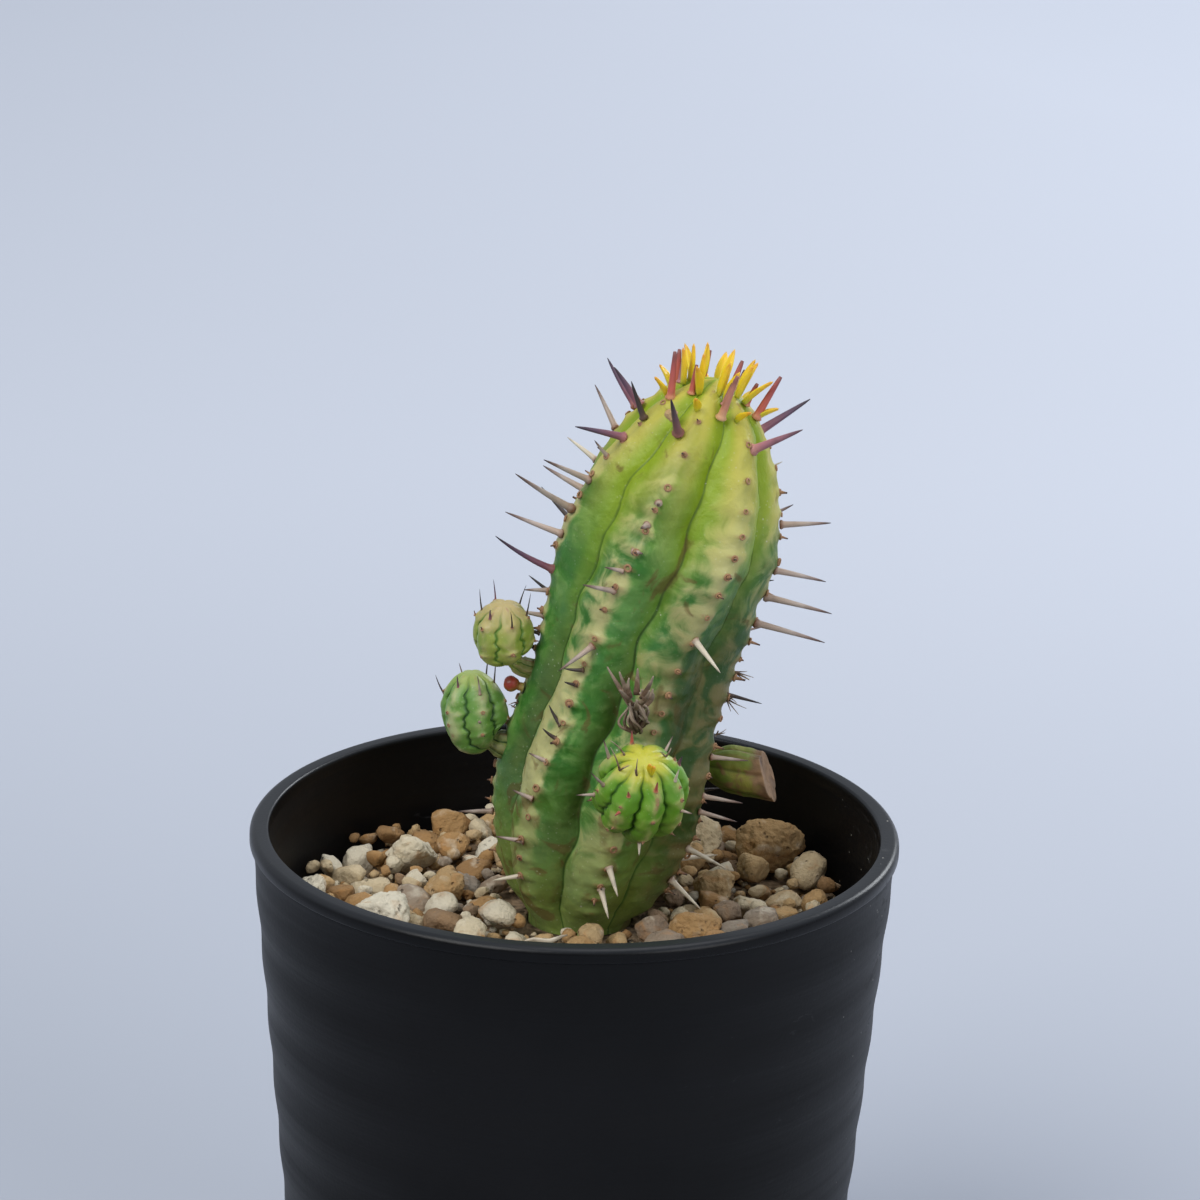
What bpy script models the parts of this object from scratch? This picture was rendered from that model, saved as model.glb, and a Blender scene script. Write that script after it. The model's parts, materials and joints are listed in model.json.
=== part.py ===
"""Potted euphorbia: a ribbed, spiny succulent in a plain black pot dressed with pumice.

Metres, +Z up. The origin is the centre of the pot's foot, and -Y is the front.
Every separate piece is one closed object. Pieces that touch keep TOUCH between them.
Angles round the plant start at the front and turn towards +X.
"""

import math
import random

import bmesh
import bpy
from mathutils import Matrix, Vector

MM = 0.001
TOUCH = 0.3 * MM

# Pot
POT_HEIGHT = 80.5 * MM
RIM_RADIUS = 37.5 * MM
WALL_SLOPE = 0.082
WALL = 1.6 * MM
LIP_HEIGHT = 1.6 * MM
LIP_PROUD = 0.12 * MM
LIP_WIDTH = 2.2 * MM
LIP_ROUND_IN = 0.35 * MM
LIP_ROUND_OUT = 0.8 * MM
RIPPLE_PITCH = 8.0 * MM
RIPPLE_DEPTH = 0.18 * MM
BASE = 2.4 * MM
FOOT_RECESS = 2.0 * MM
FOOT_RING = 3.2 * MM
DRAIN_HOLES = 5
DRAIN_RADIUS = 2.4 * MM
DRAIN_CIRCLE = 15.0 * MM
POT_STEPS = 40

# Fill
GRAVEL_BELOW_RIM = 9.5 * MM
STONE_COVER = 3.0 * MM
GRAVEL_DEPTH = 3.6 * MM
ROOT_LENGTH = 36.0 * MM
ROOT_RADIUS = 5.2 * MM
SIDE_ROOTS = 6
SIDE_ROOT_RADIUS = 1.1 * MM
SIDE_ROOT_REACH = (0.72, 0.62)
SIDE_ROOT_DROP = 0.35
FIRST_SIDE_ROOT = 0.12
SIDE_ROOT_STEP = 0.09
SIDE_ROOT_TURN = 77.0

# Stem: its height is measured from the gravel's surface.
STEM_HEIGHT = 62.0 * MM
STEM_RADIUS = 12.4 * MM
STEM_LEAN = 14.0 * MM
STEM_FOOT = Vector((0.8 * MM, 3.0 * MM, 0.0))
STEM_NECK = 6.0 * MM
RIBS = 7
RIB_DEPTH = 0.21
RIB_START = -43.0
RIB_TWIST = 38.0
# The lean and the winding grow with these powers of the height. The foot is narrower over
# its share of the height, and the waist is a slight hollow between the foot and the crown.
LEAN_SWEEP = 1.2
TWIST_SWEEP = 1.6
FOOT_SHARE = 0.22
FOOT_NARROWING = 0.30
WAIST = 0.08
CROWN_ROUNDNESS = 0.55
CROWN_START = 0.70

# Directions
BACKWARD = Vector((0.0, 1.0, 0.0))
UPWARD = Vector((0.0, 0.0, 1.0))

# Worked out from the sizes above
GRAVEL_TOP = POT_HEIGHT - GRAVEL_BELOW_RIM
BED_TOP = GRAVEL_TOP - STONE_COVER
BED_BOTTOM = BED_TOP - GRAVEL_DEPTH
SOIL_TOP = BED_BOTTOM - TOUCH
SOIL_BOTTOM = FOOT_RECESS + BASE + TOUCH

# Stones lie in three rings, each a golden angle on from the last. Lengths are in mm.
STONE_COUNT = 18
STONE_RINGS = (0.1, 0.55, 1.0)
GOLDEN_ANGLE = 137.5
SMALLEST_STONE = 4.6
LARGEST_STONE = 9.4
STONE_WIDTH = 0.74
STONE_HEIGHT = 0.78
STONE_ROUGHNESS = 0.07

# Spines on the ribs: rib, share of the height, sideways and upward turn, length, radius (mm)
SPINES = (
    (-1, 0.91, -10, 20, 4.6, 0.38), (-1, 0.87, 0, -22, 6.4, 0.40), (-1, 0.78, 10, 0, 7.0, 0.38),
    (-1, 0.72, 15, 14, 9.6, 0.42), (-1, 0.67, -25, 4, 7.0, 0.38), (-1, 0.60, 10, 18, 8.2, 0.38),
    (-2, 0.90, -25, -8, 7.8, 0.42), (0, 0.63, -35, 8, 4.4, 0.34), (0, 0.52, -30, -42, 5.0, 0.34),
    (1, 0.58, 35, -25, 4.8, 0.34), (2, 0.78, 0, 4, 5.8, 0.38), (2, 0.70, 20, 0, 6.4, 0.38),
    (2, 0.65, -5, 10, 8.0, 0.40), (2, 0.60, 5, 8, 8.4, 0.40), (3, 0.72, 0, 12, 7.6, 0.40),
    (4, 0.80, 0, 16, 7.0, 0.40),
)
# Spines of the crown stand evenly round the tip, by turns upright and leaning out.
# Each kind: share of the height, tilt outward, length, radius (mm)
CROWN_SPINE_COUNT = 6
CROWN_SPINE_FIRST = -60.0
CROWN_SPINE_STEP = 36.0
CROWN_KINDS = ((0.955, 12.0, 5.4, 0.44), (0.915, 50.0, 7.2, 0.48))

# Offsets: rib, share of the height, heading, (length, radius), neck, ribs
OFFSETS = {
    "pup_front": (1, 0.268, (-0.25, 0.62, 0.79), (10.6 * MM, 5.4 * MM), (1.5 * MM, 0.06), 8),
    "pup_left_low": (-1, 0.25, (0.0, 0.28, 0.96), (9.6 * MM, 4.0 * MM), (1.2 * MM, 0.08), 6),
    "pup_left_high": (-1, 0.405, (0.25, 0.24, 0.96), (9.4 * MM, 3.6 * MM), (0.8 * MM, 0.26), 6),
}
OFFSET_RIB_DEPTH = 0.2
OFFSET_TWIST = 40.0

# Small growths: each sits at a share of the stem's height, some degrees off a rib's crest.
BRANCH_SHARE = 0.275
BRANCH_LENGTH = 7.0 * MM
BRANCH_RADIUS = 2.9 * MM
BRANCH_RIBS = 5
BRANCH_SLANT = 0.45
BUD_SHARE = 0.37
BUD_RADIUS = 0.95 * MM
FLOWER_SHARE = 0.395
FLOWER_LENGTH = 7.6 * MM
FLOWER_STALK_RADIUS = 0.55 * MM
FLOWER_MOUTH_RADIUS = 1.75 * MM
CRUMB_SHARE = 0.93
CRUMB_RADIUS = 0.8 * MM

# Leaves stand evenly round the growing tip, by turns upright and spread (lengths in mm)
LEAF_COUNT = 7
LEAF_FIRST = -134.0
LEAF_SHARE = 0.978
LEAF_TILTS = (14.0, 30.0)
LEAF_LENGTH = 4.2
LEAF_WIDTH = 1.2
LEAF_THICKNESS = 0.6 * MM
LEAF_CURL = 0.12


def turned_about(base, direction, angle, radius):
    """A point at an angle round an axis, measured from the front towards +X."""
    right = BACKWARD.cross(direction).normalized()
    back = direction.cross(right).normalized()
    turn = math.radians(angle)
    return base + (right * math.sin(turn) - back * math.cos(turn)) * radius


def bezier(start, start_pull, end_pull, end, share):
    """A point on the cubic curve that runs from start to end."""
    rest = 1.0 - share
    return (start * rest**3 + start_pull * (3 * rest * rest * share)
            + end_pull * (3 * rest * share * share) + end * share**3)


# ---------------------------------------------------------------- materials

def finish(name, colour, roughness):
    """A Principled BSDF material."""
    material = bpy.data.materials.new(name)
    material.use_nodes = True
    shader = material.node_tree.nodes["Principled BSDF"]
    shader.inputs["Base Color"].default_value = (*colour, 1.0)
    shader.inputs["Roughness"].default_value = roughness
    shader.inputs["Metallic"].default_value = 0.0
    material.diffuse_color = (*colour, 1.0)
    return material


def make_materials():
    """One material for each thing the plant and its pot are made of."""
    return {
        "pot": finish("black_pot", (0.012, 0.013, 0.016), 0.45),
        "soil": finish("potting_soil", (0.055, 0.032, 0.020), 0.95),
        "gravel": finish("pumice_grit", (0.42, 0.33, 0.24), 0.95),
        "stone": finish("pumice_stone", (0.62, 0.53, 0.42), 0.90),
        "root": finish("root_bark", (0.30, 0.20, 0.12), 0.85),
        "stem": finish("stem_skin", (0.16, 0.27, 0.12), 0.50),
        "pup": finish("young_skin", (0.42, 0.55, 0.12), 0.45),
        "callus": finish("healed_cut", (0.30, 0.22, 0.12), 0.80),
        "bud": finish("red_bud", (0.33, 0.07, 0.04), 0.50),
        "dried": finish("dried_husk", (0.26, 0.18, 0.12), 0.90),
        "leaf": finish("yellow_leaf", (0.72, 0.66, 0.16), 0.50),
        "spine": finish("spine_wood", (0.28, 0.13, 0.11), 0.55),
    }


# ---------------------------------------------------------------- shared shapes

def add_object(name, mesh, material, home, smooth_angle=45.0):
    """Put a mesh in the scene as a named object, with its round faces shaded smooth."""
    mesh.materials.append(material)
    mesh.shade_smooth()
    mesh.set_sharp_from_angle(angle=math.radians(smooth_angle))
    made = bpy.data.objects.new(name, mesh)
    home.objects.link(made)
    return made


def loft_mesh(name, rings, start_cap, end_cap):
    """Skin a row of rings, and close each end as a fan round its cap point."""
    build = bmesh.new()
    rows = [[build.verts.new(point) for point in ring] for ring in rings]
    count = len(rows[0])
    for lower, upper in zip(rows, rows[1:]):
        for step in range(count):
            following = (step + 1) % count
            build.faces.new((lower[step], lower[following], upper[following], upper[step]))
    for row, cap, order in ((rows[0], start_cap, -1), (rows[-1], end_cap, 1)):
        centre = build.verts.new(cap)
        for step in range(count):
            pair = (row[step], row[(step + 1) % count])
            build.faces.new((*pair[::order], centre))
    bmesh.ops.recalc_face_normals(build, faces=build.faces)
    mesh = bpy.data.meshes.new(name)
    build.to_mesh(mesh)
    build.free()
    return mesh


def ribbed_radius(angle, ribs, depth):
    """Share of the full radius: 1 on a rib's crest, less in the sharp crease between two."""
    across = abs((angle * ribs / 360.0 + 0.5) % 1.0 - 0.5) * 2.0
    return 1.0 - depth * across**2.2


def ribbed_ring(centre, direction, radius, ribs, depth, first_rib, per_rib):
    """One section of a ribbed body; first_rib is the angle of a crest."""
    points = []
    for step in range(ribs * per_rib):
        angle = 360.0 * step / (ribs * per_rib)
        reach = radius * ribbed_radius(angle, ribs, depth)
        points.append(turned_about(centre, direction, first_rib + angle, reach))
    return points


def turned_object(name, profile, steps, material, home):
    """Revolve a profile of (radius, height) points, given down the outer side first."""
    mesh = bpy.data.meshes.new(name)
    points = [(radius, 0.0, height) for radius, height in profile]
    mesh.from_pydata(points, [(i, i + 1) for i in range(len(points) - 1)], [])
    made = add_object(name, mesh, material, home)
    screw = made.modifiers.new("turn", "SCREW")
    screw.axis = "Z"
    screw.angle = math.tau
    screw.steps = steps
    screw.render_steps = steps
    screw.use_merge_vertices = True
    screw.merge_threshold = 0.00001
    screw.use_smooth_shade = True
    return made


def cut_away(body, cutter):
    """Subtract a cutter, which stays in the scene as a hidden guide."""
    cutter.hide_render = True
    cutter.display_type = "WIRE"
    cut = body.modifiers.new("cut", "BOOLEAN")
    cut.operation = "DIFFERENCE"
    cut.solver = "EXACT"
    cut.object = cutter


def tapered_wire(name, points, radii, sides_level, home):
    """A capped tube through points, each with its own radius, turned into a mesh object."""
    curve = bpy.data.curves.new(name, "CURVE")
    curve.dimensions = "3D"
    curve.bevel_depth = 1.0
    curve.bevel_resolution = sides_level
    curve.use_fill_caps = True
    line = curve.splines.new("POLY")
    line.points.add(len(points) - 1)
    for target, point, radius in zip(line.points, points, radii):
        target.co = (*point, 1.0)
        target.radius = radius
    guide = bpy.data.objects.new(name + "_line", curve)
    home.objects.link(guide)
    graph = bpy.context.evaluated_depsgraph_get()
    mesh = bpy.data.meshes.new_from_object(guide.evaluated_get(graph))
    bpy.data.objects.remove(guide)
    build = bmesh.new()
    build.from_mesh(mesh)
    bmesh.ops.remove_doubles(build, verts=build.verts, dist=0.000001)
    bmesh.ops.recalc_face_normals(build, faces=build.faces)
    build.to_mesh(mesh)
    build.free()
    mesh.name = name
    mesh.materials.clear()
    return mesh


# ---------------------------------------------------------------- the pot

def wall_radius(height):
    """Outer radius of the plain wall, before its ripples."""
    return RIM_RADIUS - LIP_PROUD - WALL_SLOPE * (POT_HEIGHT - height)


def inner_radius(height):
    """Inner radius of the wall."""
    return wall_radius(height) - WALL


def rippled_radius(height):
    """Outer radius with the soft turned rings, which fade out at the foot."""
    wave = 0.5 - 0.5 * math.cos(math.tau * (POT_HEIGHT - height) / RIPPLE_PITCH)
    fade = min(1.0, height / RIPPLE_PITCH)
    return wall_radius(height) - RIPPLE_DEPTH * wave * fade


def lip_corner(centre_radius, rounding, start, end, count=3):
    """Points of one rounded corner on top of the lip, from one angle to another."""
    points = []
    for step in range(count + 1):
        angle = math.radians(start + (end - start) * step / count)
        points.append((centre_radius + rounding * math.cos(angle),
                       POT_HEIGHT - rounding + rounding * math.sin(angle)))
    return points


def make_pot(material, home, guides):
    """Thin turned wall, square lip, rings down the outside, recessed foot, drain holes."""
    lip_base = POT_HEIGHT - LIP_HEIGHT
    floor = FOOT_RECESS + BASE
    profile = [(0.0, floor), (inner_radius(floor) - WALL, floor)]
    profile.append((inner_radius(floor + WALL), floor + WALL))
    profile.append((min(inner_radius(lip_base), RIM_RADIUS - LIP_WIDTH), lip_base))
    profile += lip_corner(RIM_RADIUS - LIP_WIDTH + LIP_ROUND_IN, LIP_ROUND_IN, 180, 90)
    profile += lip_corner(RIM_RADIUS - LIP_ROUND_OUT, LIP_ROUND_OUT, 90, 0)
    profile.append((RIM_RADIUS, lip_base))
    profile.append((wall_radius(lip_base - LIP_PROUD), lip_base - LIP_PROUD))
    top_row = lip_base - WALL
    rows = round(top_row / (RIPPLE_PITCH / 4))
    for row in range(rows):
        height = top_row - (top_row - WALL) * row / (rows - 1)
        profile.append((rippled_radius(height), height))
    foot = wall_radius(0.0)
    profile.append((foot - WALL / 2, 0.0))
    profile.append((foot - FOOT_RING, 0.0))
    profile.append((foot - FOOT_RING - FOOT_RECESS / 2, FOOT_RECESS))
    profile.append((0.0, FOOT_RECESS))
    pot = turned_object("pot", profile, POT_STEPS, material, home)

    build = bmesh.new()
    for hole in range(DRAIN_HOLES):
        angle = math.tau * (hole + 0.5) / DRAIN_HOLES
        place = Matrix.Translation((DRAIN_CIRCLE * math.sin(angle),
                                    -DRAIN_CIRCLE * math.cos(angle), FOOT_RECESS + BASE / 2))
        bmesh.ops.create_cone(build, cap_ends=True, segments=16, radius1=DRAIN_RADIUS,
                              radius2=DRAIN_RADIUS, depth=BASE * 3, matrix=place)
    mesh = bpy.data.meshes.new("drain_cutter")
    build.to_mesh(mesh)
    build.free()
    cutter = bpy.data.objects.new("drain_cutter", mesh)
    guides.objects.link(cutter)
    cut_away(pot, cutter)


# ---------------------------------------------------------------- soil, roots and gravel

def root_system(name, extra, material, home, guides):
    """Tap root and side roots joined into one body; extra thickens it for a cutter."""
    top = SOIL_TOP - TOUCH + extra * 2
    rows = 8
    rings = []
    for row in range(rows + 1):
        share = row / rows
        centre = Vector((STEM_FOOT.x, STEM_FOOT.y, top - (ROOT_LENGTH + extra * 3) * share))
        radius = ROOT_RADIUS * (1.0 - share) ** 0.7 * 0.82 + ROOT_RADIUS * 0.18 + extra
        rings.append(ribbed_ring(centre, UPWARD, radius, 1, 0.0, 0.0, 14))
    rings.reverse()
    mesh = loft_mesh(name, rings, rings[0][0].lerp(rings[0][7], 0.5),
                     rings[-1][0].lerp(rings[-1][7], 0.5))
    made = add_object(name, mesh, material, home)
    for number in range(SIDE_ROOTS):
        start_height = SOIL_TOP - ROOT_LENGTH * (FIRST_SIDE_ROOT + SIDE_ROOT_STEP * number)
        start = Vector((STEM_FOOT.x, STEM_FOOT.y, start_height))
        heading = SIDE_ROOT_TURN * number
        reach = inner_radius(start_height) * SIDE_ROOT_REACH[number % 2]
        drop = ROOT_LENGTH * SIDE_ROOT_DROP
        out = turned_about(Vector((0, 0, start_height)), UPWARD, heading, reach)
        end = out - Vector((0, 0, drop))
        pull = start.lerp(out, 0.5) + Vector((0, 0, drop * 0.1))
        points = [bezier(start, pull, out, end, step / 6) for step in range(7)]
        radii = [SIDE_ROOT_RADIUS * (1.0 - 0.62 * step / 6) + extra for step in range(7)]
        side = bpy.data.objects.new(
            f"{name}_side_{number + 1}",
            tapered_wire(f"{name}_side_{number + 1}", points, radii, 1, guides))
        guides.objects.link(side)
        side.hide_render = True
        side.display_type = "WIRE"
        join = made.modifiers.new(f"side_{number + 1}", "BOOLEAN")
        join.operation = "UNION"
        join.solver = "EXACT"
        join.object = side
    return made


def make_soil(materials, home, guides):
    """The fill inside the pot, with room for the roots."""
    low = inner_radius(SOIL_BOTTOM + WALL) - TOUCH - WALL
    profile = [(0.0, SOIL_TOP), (inner_radius(SOIL_TOP) - TOUCH, SOIL_TOP)]
    profile.append((inner_radius(SOIL_BOTTOM + WALL * 2) - TOUCH, SOIL_BOTTOM + WALL * 2))
    profile.append((low, SOIL_BOTTOM))
    profile.append((0.0, SOIL_BOTTOM))
    soil = turned_object("potting_soil", profile, POT_STEPS, materials["soil"], home)
    root_room = root_system("root_room", TOUCH, materials["root"], guides, guides)
    cut_away(soil, root_room)
    root_system("roots", 0.0, materials["root"], home, guides)


def make_gravel_bed(material, home, guides):
    """The layer of fine grit, gently heaped, with a hole where the stem comes through."""
    edge = inner_radius(BED_BOTTOM) - TOUCH
    profile = [(0.0, BED_TOP), (edge * 0.72, BED_TOP)]
    profile.append((edge * 0.90, BED_TOP - TOUCH))
    profile.append((edge, BED_TOP - TOUCH * 3))
    profile.append((edge, BED_BOTTOM))
    profile.append((0.0, BED_BOTTOM))
    bed = turned_object("gravel_bed", profile, POT_STEPS, material, home)
    build = bmesh.new()
    place = Matrix.Translation((STEM_FOOT.x, STEM_FOOT.y, BED_TOP))
    bmesh.ops.create_cone(build, cap_ends=True, segments=40, radius1=STEM_NECK + TOUCH,
                          radius2=STEM_NECK + TOUCH, depth=GRAVEL_DEPTH * 4, matrix=place)
    mesh = bpy.data.meshes.new("stem_hole_cutter")
    build.to_mesh(mesh)
    build.free()
    cutter = bpy.data.objects.new("stem_hole_cutter", mesh)
    guides.objects.link(cutter)
    cut_away(bed, cutter)


def stone_rows():
    """Angle, share of the way from stem to wall, length, width, height and turn of each."""
    rows = []
    for number in range(STONE_COUNT):
        share = STONE_RINGS[number % len(STONE_RINGS)]
        larger = 0.35 + 0.65 * math.sin(1.7 * number) ** 2
        length = SMALLEST_STONE + (LARGEST_STONE - SMALLEST_STONE) * larger * (0.4 + 0.6 * share)
        rows.append((number * GOLDEN_ANGLE, share, length, length * STONE_WIDTH,
                     length * STONE_HEIGHT, number * 50.0))
    return rows


def settled_stones():
    """Centre (x, y) of each stone, moved apart until no two of their round bounds touch."""
    half = [row[2] * MM / 2 * (1 + STONE_ROUGHNESS) for row in stone_rows()]
    keep_in = stem_radius((BED_TOP + LARGEST_STONE * MM - GRAVEL_TOP) / STEM_HEIGHT) + TOUCH
    keep_out = inner_radius(BED_TOP) - TOUCH
    foot = STEM_FOOT.to_2d()
    centres = []
    for (angle, share, *_), size in zip(stone_rows(), half):
        turn = math.radians(angle)
        heading = Vector((math.sin(turn), -math.cos(turn)))
        along = foot.dot(heading)
        to_wall = math.sqrt(along * along + (keep_out - size) ** 2 - foot.length_squared) - along
        nearest = keep_in + size
        centres.append(foot + heading * (nearest + share * (to_wall - nearest)))
    for _ in range(200):
        for first in range(len(centres)):
            for second in range(first):
                apart = centres[first] - centres[second]
                short = half[first] + half[second] + TOUCH - apart.length
                if short > 0:
                    push = apart.normalized() * (short / 2)
                    centres[first] = centres[first] + push
                    centres[second] = centres[second] - push
        for index, size in enumerate(half):
            from_stem = centres[index] - foot
            if from_stem.length < keep_in + size:
                centres[index] = foot + from_stem.normalized() * (keep_in + size)
            if centres[index].length > keep_out - size:
                centres[index] = centres[index].normalized() * (keep_out - size)
    return centres


def make_stones(material, home):
    """Rough rounded lumps of pumice lying on the grit."""
    for number, (row, centre) in enumerate(zip(stone_rows(), settled_stones()), start=1):
        _, _, length, width, height, turn = row
        chance = random.Random(number)
        build = bmesh.new()
        bmesh.ops.create_icosphere(build, subdivisions=2, radius=1.0)
        for vert in build.verts:
            vert.co *= 1.0 + chance.uniform(-2.0, 1.0) * STONE_ROUGHNESS
        size = Vector((length, width, height)) * (MM / 2)
        lowest = min(vert.co.z for vert in build.verts) * size.z
        place = (Matrix.Translation((centre.x, centre.y, BED_TOP + TOUCH - lowest))
                 @ Matrix.Rotation(math.radians(turn), 4, "Z") @ Matrix.Diagonal((*size, 1.0)))
        bmesh.ops.transform(build, matrix=place, verts=build.verts)
        mesh = bpy.data.meshes.new(f"stone_{number:02d}")
        build.to_mesh(mesh)
        build.free()
        add_object(f"stone_{number:02d}", mesh, material, home)


# ---------------------------------------------------------------- the stem

def stem_axis(share):
    """Middle of the stem: nearly upright at the gravel, leaning more as it climbs."""
    share = max(0.0, share)
    return Vector((STEM_FOOT.x + STEM_LEAN * share**LEAN_SWEEP, STEM_FOOT.y,
                   GRAVEL_TOP + STEM_HEIGHT * share))


def stem_radius(share):
    """Radius over the rib crests: a narrow foot, a slight waist, and a closing crown."""
    if share <= CROWN_START:
        foot = FOOT_NARROWING * max(0.0, 1.0 - max(0.0, share) / FOOT_SHARE) ** 2
        climb = max(0.0, (share - FOOT_SHARE) / (CROWN_START - FOOT_SHARE))
        return STEM_RADIUS * (1.0 - foot - WAIST * math.sin(math.pi * climb) ** 2)
    rise = min(1.0, (share - CROWN_START) / (1.0 - CROWN_START))
    return STEM_RADIUS * (1.0 - rise**1.6) ** CROWN_ROUNDNESS


def stem_direction(share):
    """Which way the stem grows at a share of its height."""
    return (stem_axis(min(1.0, share + 0.01)) - stem_axis(max(0.0, share - 0.01))).normalized()


def crest_angle(rib, share):
    """Angle of a rib's crest at a share of the height."""
    return RIB_START + RIB_TWIST * max(0.0, share) ** TWIST_SWEEP + rib * 360.0 / RIBS


def on_stem(angle, share):
    """A point over the crests, the way straight out of the skin there, and sideways."""
    direction = stem_direction(share)
    centre = stem_axis(share)
    point = turned_about(centre, direction, angle, stem_radius(share))
    outward = turned_about(Vector(), direction, angle, 1.0)
    step = 0.01
    top = min(1.0, share + step)
    rise = (stem_axis(top) - stem_axis(share - step)).length
    flare = (stem_radius(top) - stem_radius(share - step)) / rise
    out = (outward - direction * flare).normalized()
    sideways = turned_about(Vector(), direction, angle + 90.0, 1.0)
    return point, out, sideways


def make_stem(material, home):
    """Ribbed body lofted up its leaning middle line; the ribs turn as they climb."""
    rings = []
    for height in (BED_BOTTOM + TOUCH, (BED_BOTTOM + BED_TOP) / 2, BED_TOP + TOUCH * 2):
        centre = Vector((STEM_FOOT.x, STEM_FOOT.y, height))
        rings.append(ribbed_ring(centre, UPWARD, STEM_NECK, RIBS, 0.0, RIB_START, 8))
    body = 17
    crown = 9
    shares = [CROWN_START * row / body for row in range(body)]
    shares += [CROWN_START + (1 - CROWN_START) * math.sin(math.pi / 2 * row / crown)
               for row in range(crown)]
    for share in shares:
        rings.append(ribbed_ring(stem_axis(share), stem_direction(share), stem_radius(share),
                                 RIBS, RIB_DEPTH, crest_angle(0, share), 8))
    start = Vector((STEM_FOOT.x, STEM_FOOT.y, BED_BOTTOM + TOUCH))
    mesh = loft_mesh("stem", rings, start, stem_axis(1.0))
    add_object("stem", mesh, material, home)


def room_beside_stem(points):
    """How far the nearest of some points stands off the stem's crests."""
    nearest = math.inf
    for point in points:
        share = (point.z - GRAVEL_TOP) / STEM_HEIGHT
        if 0.0 <= share < 1.0:
            nearest = min(nearest, (point - stem_axis(share)).length - stem_radius(share))
    return nearest


# ---------------------------------------------------------------- offsets and small growths

def offset_rings(rib, share, heading, size, neck, ribs, rows=12):
    """Rings of an offset: a narrow neck on a crest, swelling out along a bending line.

    heading is (sideways, outward, upward); size is (length, radius);
    neck is (radius, share of the length).
    """
    crest, out, sideways = on_stem(crest_angle(rib, share), share)
    upward = stem_direction(share)
    length, radius = size
    aim = (sideways * heading[0] + out * heading[1] + upward * heading[2]).normalized()
    start = crest + out * TOUCH * 2
    bend = start + out * length * 0.28
    end = bend + aim * length * 0.82
    rings = []
    for row in range(rows):
        along = row / rows
        centre = bezier(start, bend, bend.lerp(end, 0.45), end, along)
        ahead = bezier(start, bend, bend.lerp(end, 0.45), end, along + 0.02)
        body = max(0.0, (along - neck[1]) / (1.0 - neck[1]))
        swell = (1.0 - abs(1.0 - 2.0 * body) ** 2.4) ** 0.5
        reach = max(neck[0], radius * swell)
        ridge = OFFSET_RIB_DEPTH * min(1.0, body * 4.0)
        rings.append(ribbed_ring(centre, ahead - centre, reach, ribs, ridge,
                                 OFFSET_TWIST * along, 4))
    moved = out * max(0.0, TOUCH - room_beside_stem([p for ring in rings[2:] for p in ring]))
    rings = [[point + moved * min(1.0, row / 2) for point in ring]
             for row, ring in enumerate(rings)]
    return rings, start, end + moved


def make_offset(name, placing, material, home):
    """A ribbed offset, joined to the stem by its neck."""
    rings, start, end = offset_rings(*placing)
    add_object(name, loft_mesh(name, rings, start, end), material, home)


def make_cut_branch(material, home):
    """A short ribbed side branch whose end was cut at a slant and has healed."""
    crest, out, sideways = on_stem(crest_angle(3, BRANCH_SHARE) - 8.0, BRANCH_SHARE)
    upward = stem_direction(BRANCH_SHARE)
    aim = (out * 0.85 - sideways * 0.5 + upward * 0.05).normalized()
    start = crest + out * TOUCH * 2
    rings = []
    for row in range(7):
        along = row / 6
        centre = start + aim * BRANCH_LENGTH * along
        radius = BRANCH_RADIUS * (0.58 + 0.42 * math.sin(math.pi / 2 * min(1.0, along * 2.2)))
        ring = ribbed_ring(centre, aim, radius, BRANCH_RIBS, 0.16, 20.0, 4)
        slant = BRANCH_SLANT * along
        rings.append([point - aim * slant * (point - centre).dot(upward) for point in ring])
    mesh = loft_mesh("cut_branch", rings, start, start + aim * BRANCH_LENGTH * 1.06)
    add_object("cut_branch", mesh, material, home, 35.0)


def make_bud(material, home):
    """A small round bud on the left rib."""
    crest, out, sideways = on_stem(crest_angle(-1, BUD_SHARE), BUD_SHARE)
    centre = crest + (out * 0.9 + sideways * 0.4).normalized() * (BUD_RADIUS + TOUCH * 2)
    build = bmesh.new()
    bmesh.ops.create_uvsphere(build, u_segments=10, v_segments=7, radius=BUD_RADIUS)
    bmesh.ops.transform(build, matrix=Matrix.Translation(centre), verts=build.verts)
    mesh = bpy.data.meshes.new("red_bud")
    build.to_mesh(mesh)
    build.free()
    add_object("red_bud", mesh, material, home)


def make_dried_flower(material, home):
    """A dried flower: a thin stalk opening into a three-lobed husk."""
    crest, out, sideways = on_stem(crest_angle(1, FLOWER_SHARE) - 11.0, FLOWER_SHARE)
    upward = stem_direction(FLOWER_SHARE)
    aim = (upward + out * 0.32 - sideways * 0.30).normalized()
    start = crest + out * FLOWER_STALK_RADIUS * 2
    nod = out * FLOWER_LENGTH * 0.1
    outline = ((0.0, 0.0), (0.2, 0.06), (0.4, 0.38), (0.6, 0.67), (0.8, 0.63), (1.0, 1.0))
    rings = []
    for along, opening in outline:
        centre = start + aim * FLOWER_LENGTH * along + nod * along**2
        radius = FLOWER_STALK_RADIUS + (FLOWER_MOUTH_RADIUS - FLOWER_STALK_RADIUS) * opening
        rings.append(ribbed_ring(centre, aim, radius, 3, 0.5 * along, 10.0, 6))
    end = start + aim * FLOWER_LENGTH * 0.86 + nod * 0.9
    add_object("dried_flower", loft_mesh("dried_flower", rings, start, end), material, home)


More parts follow.
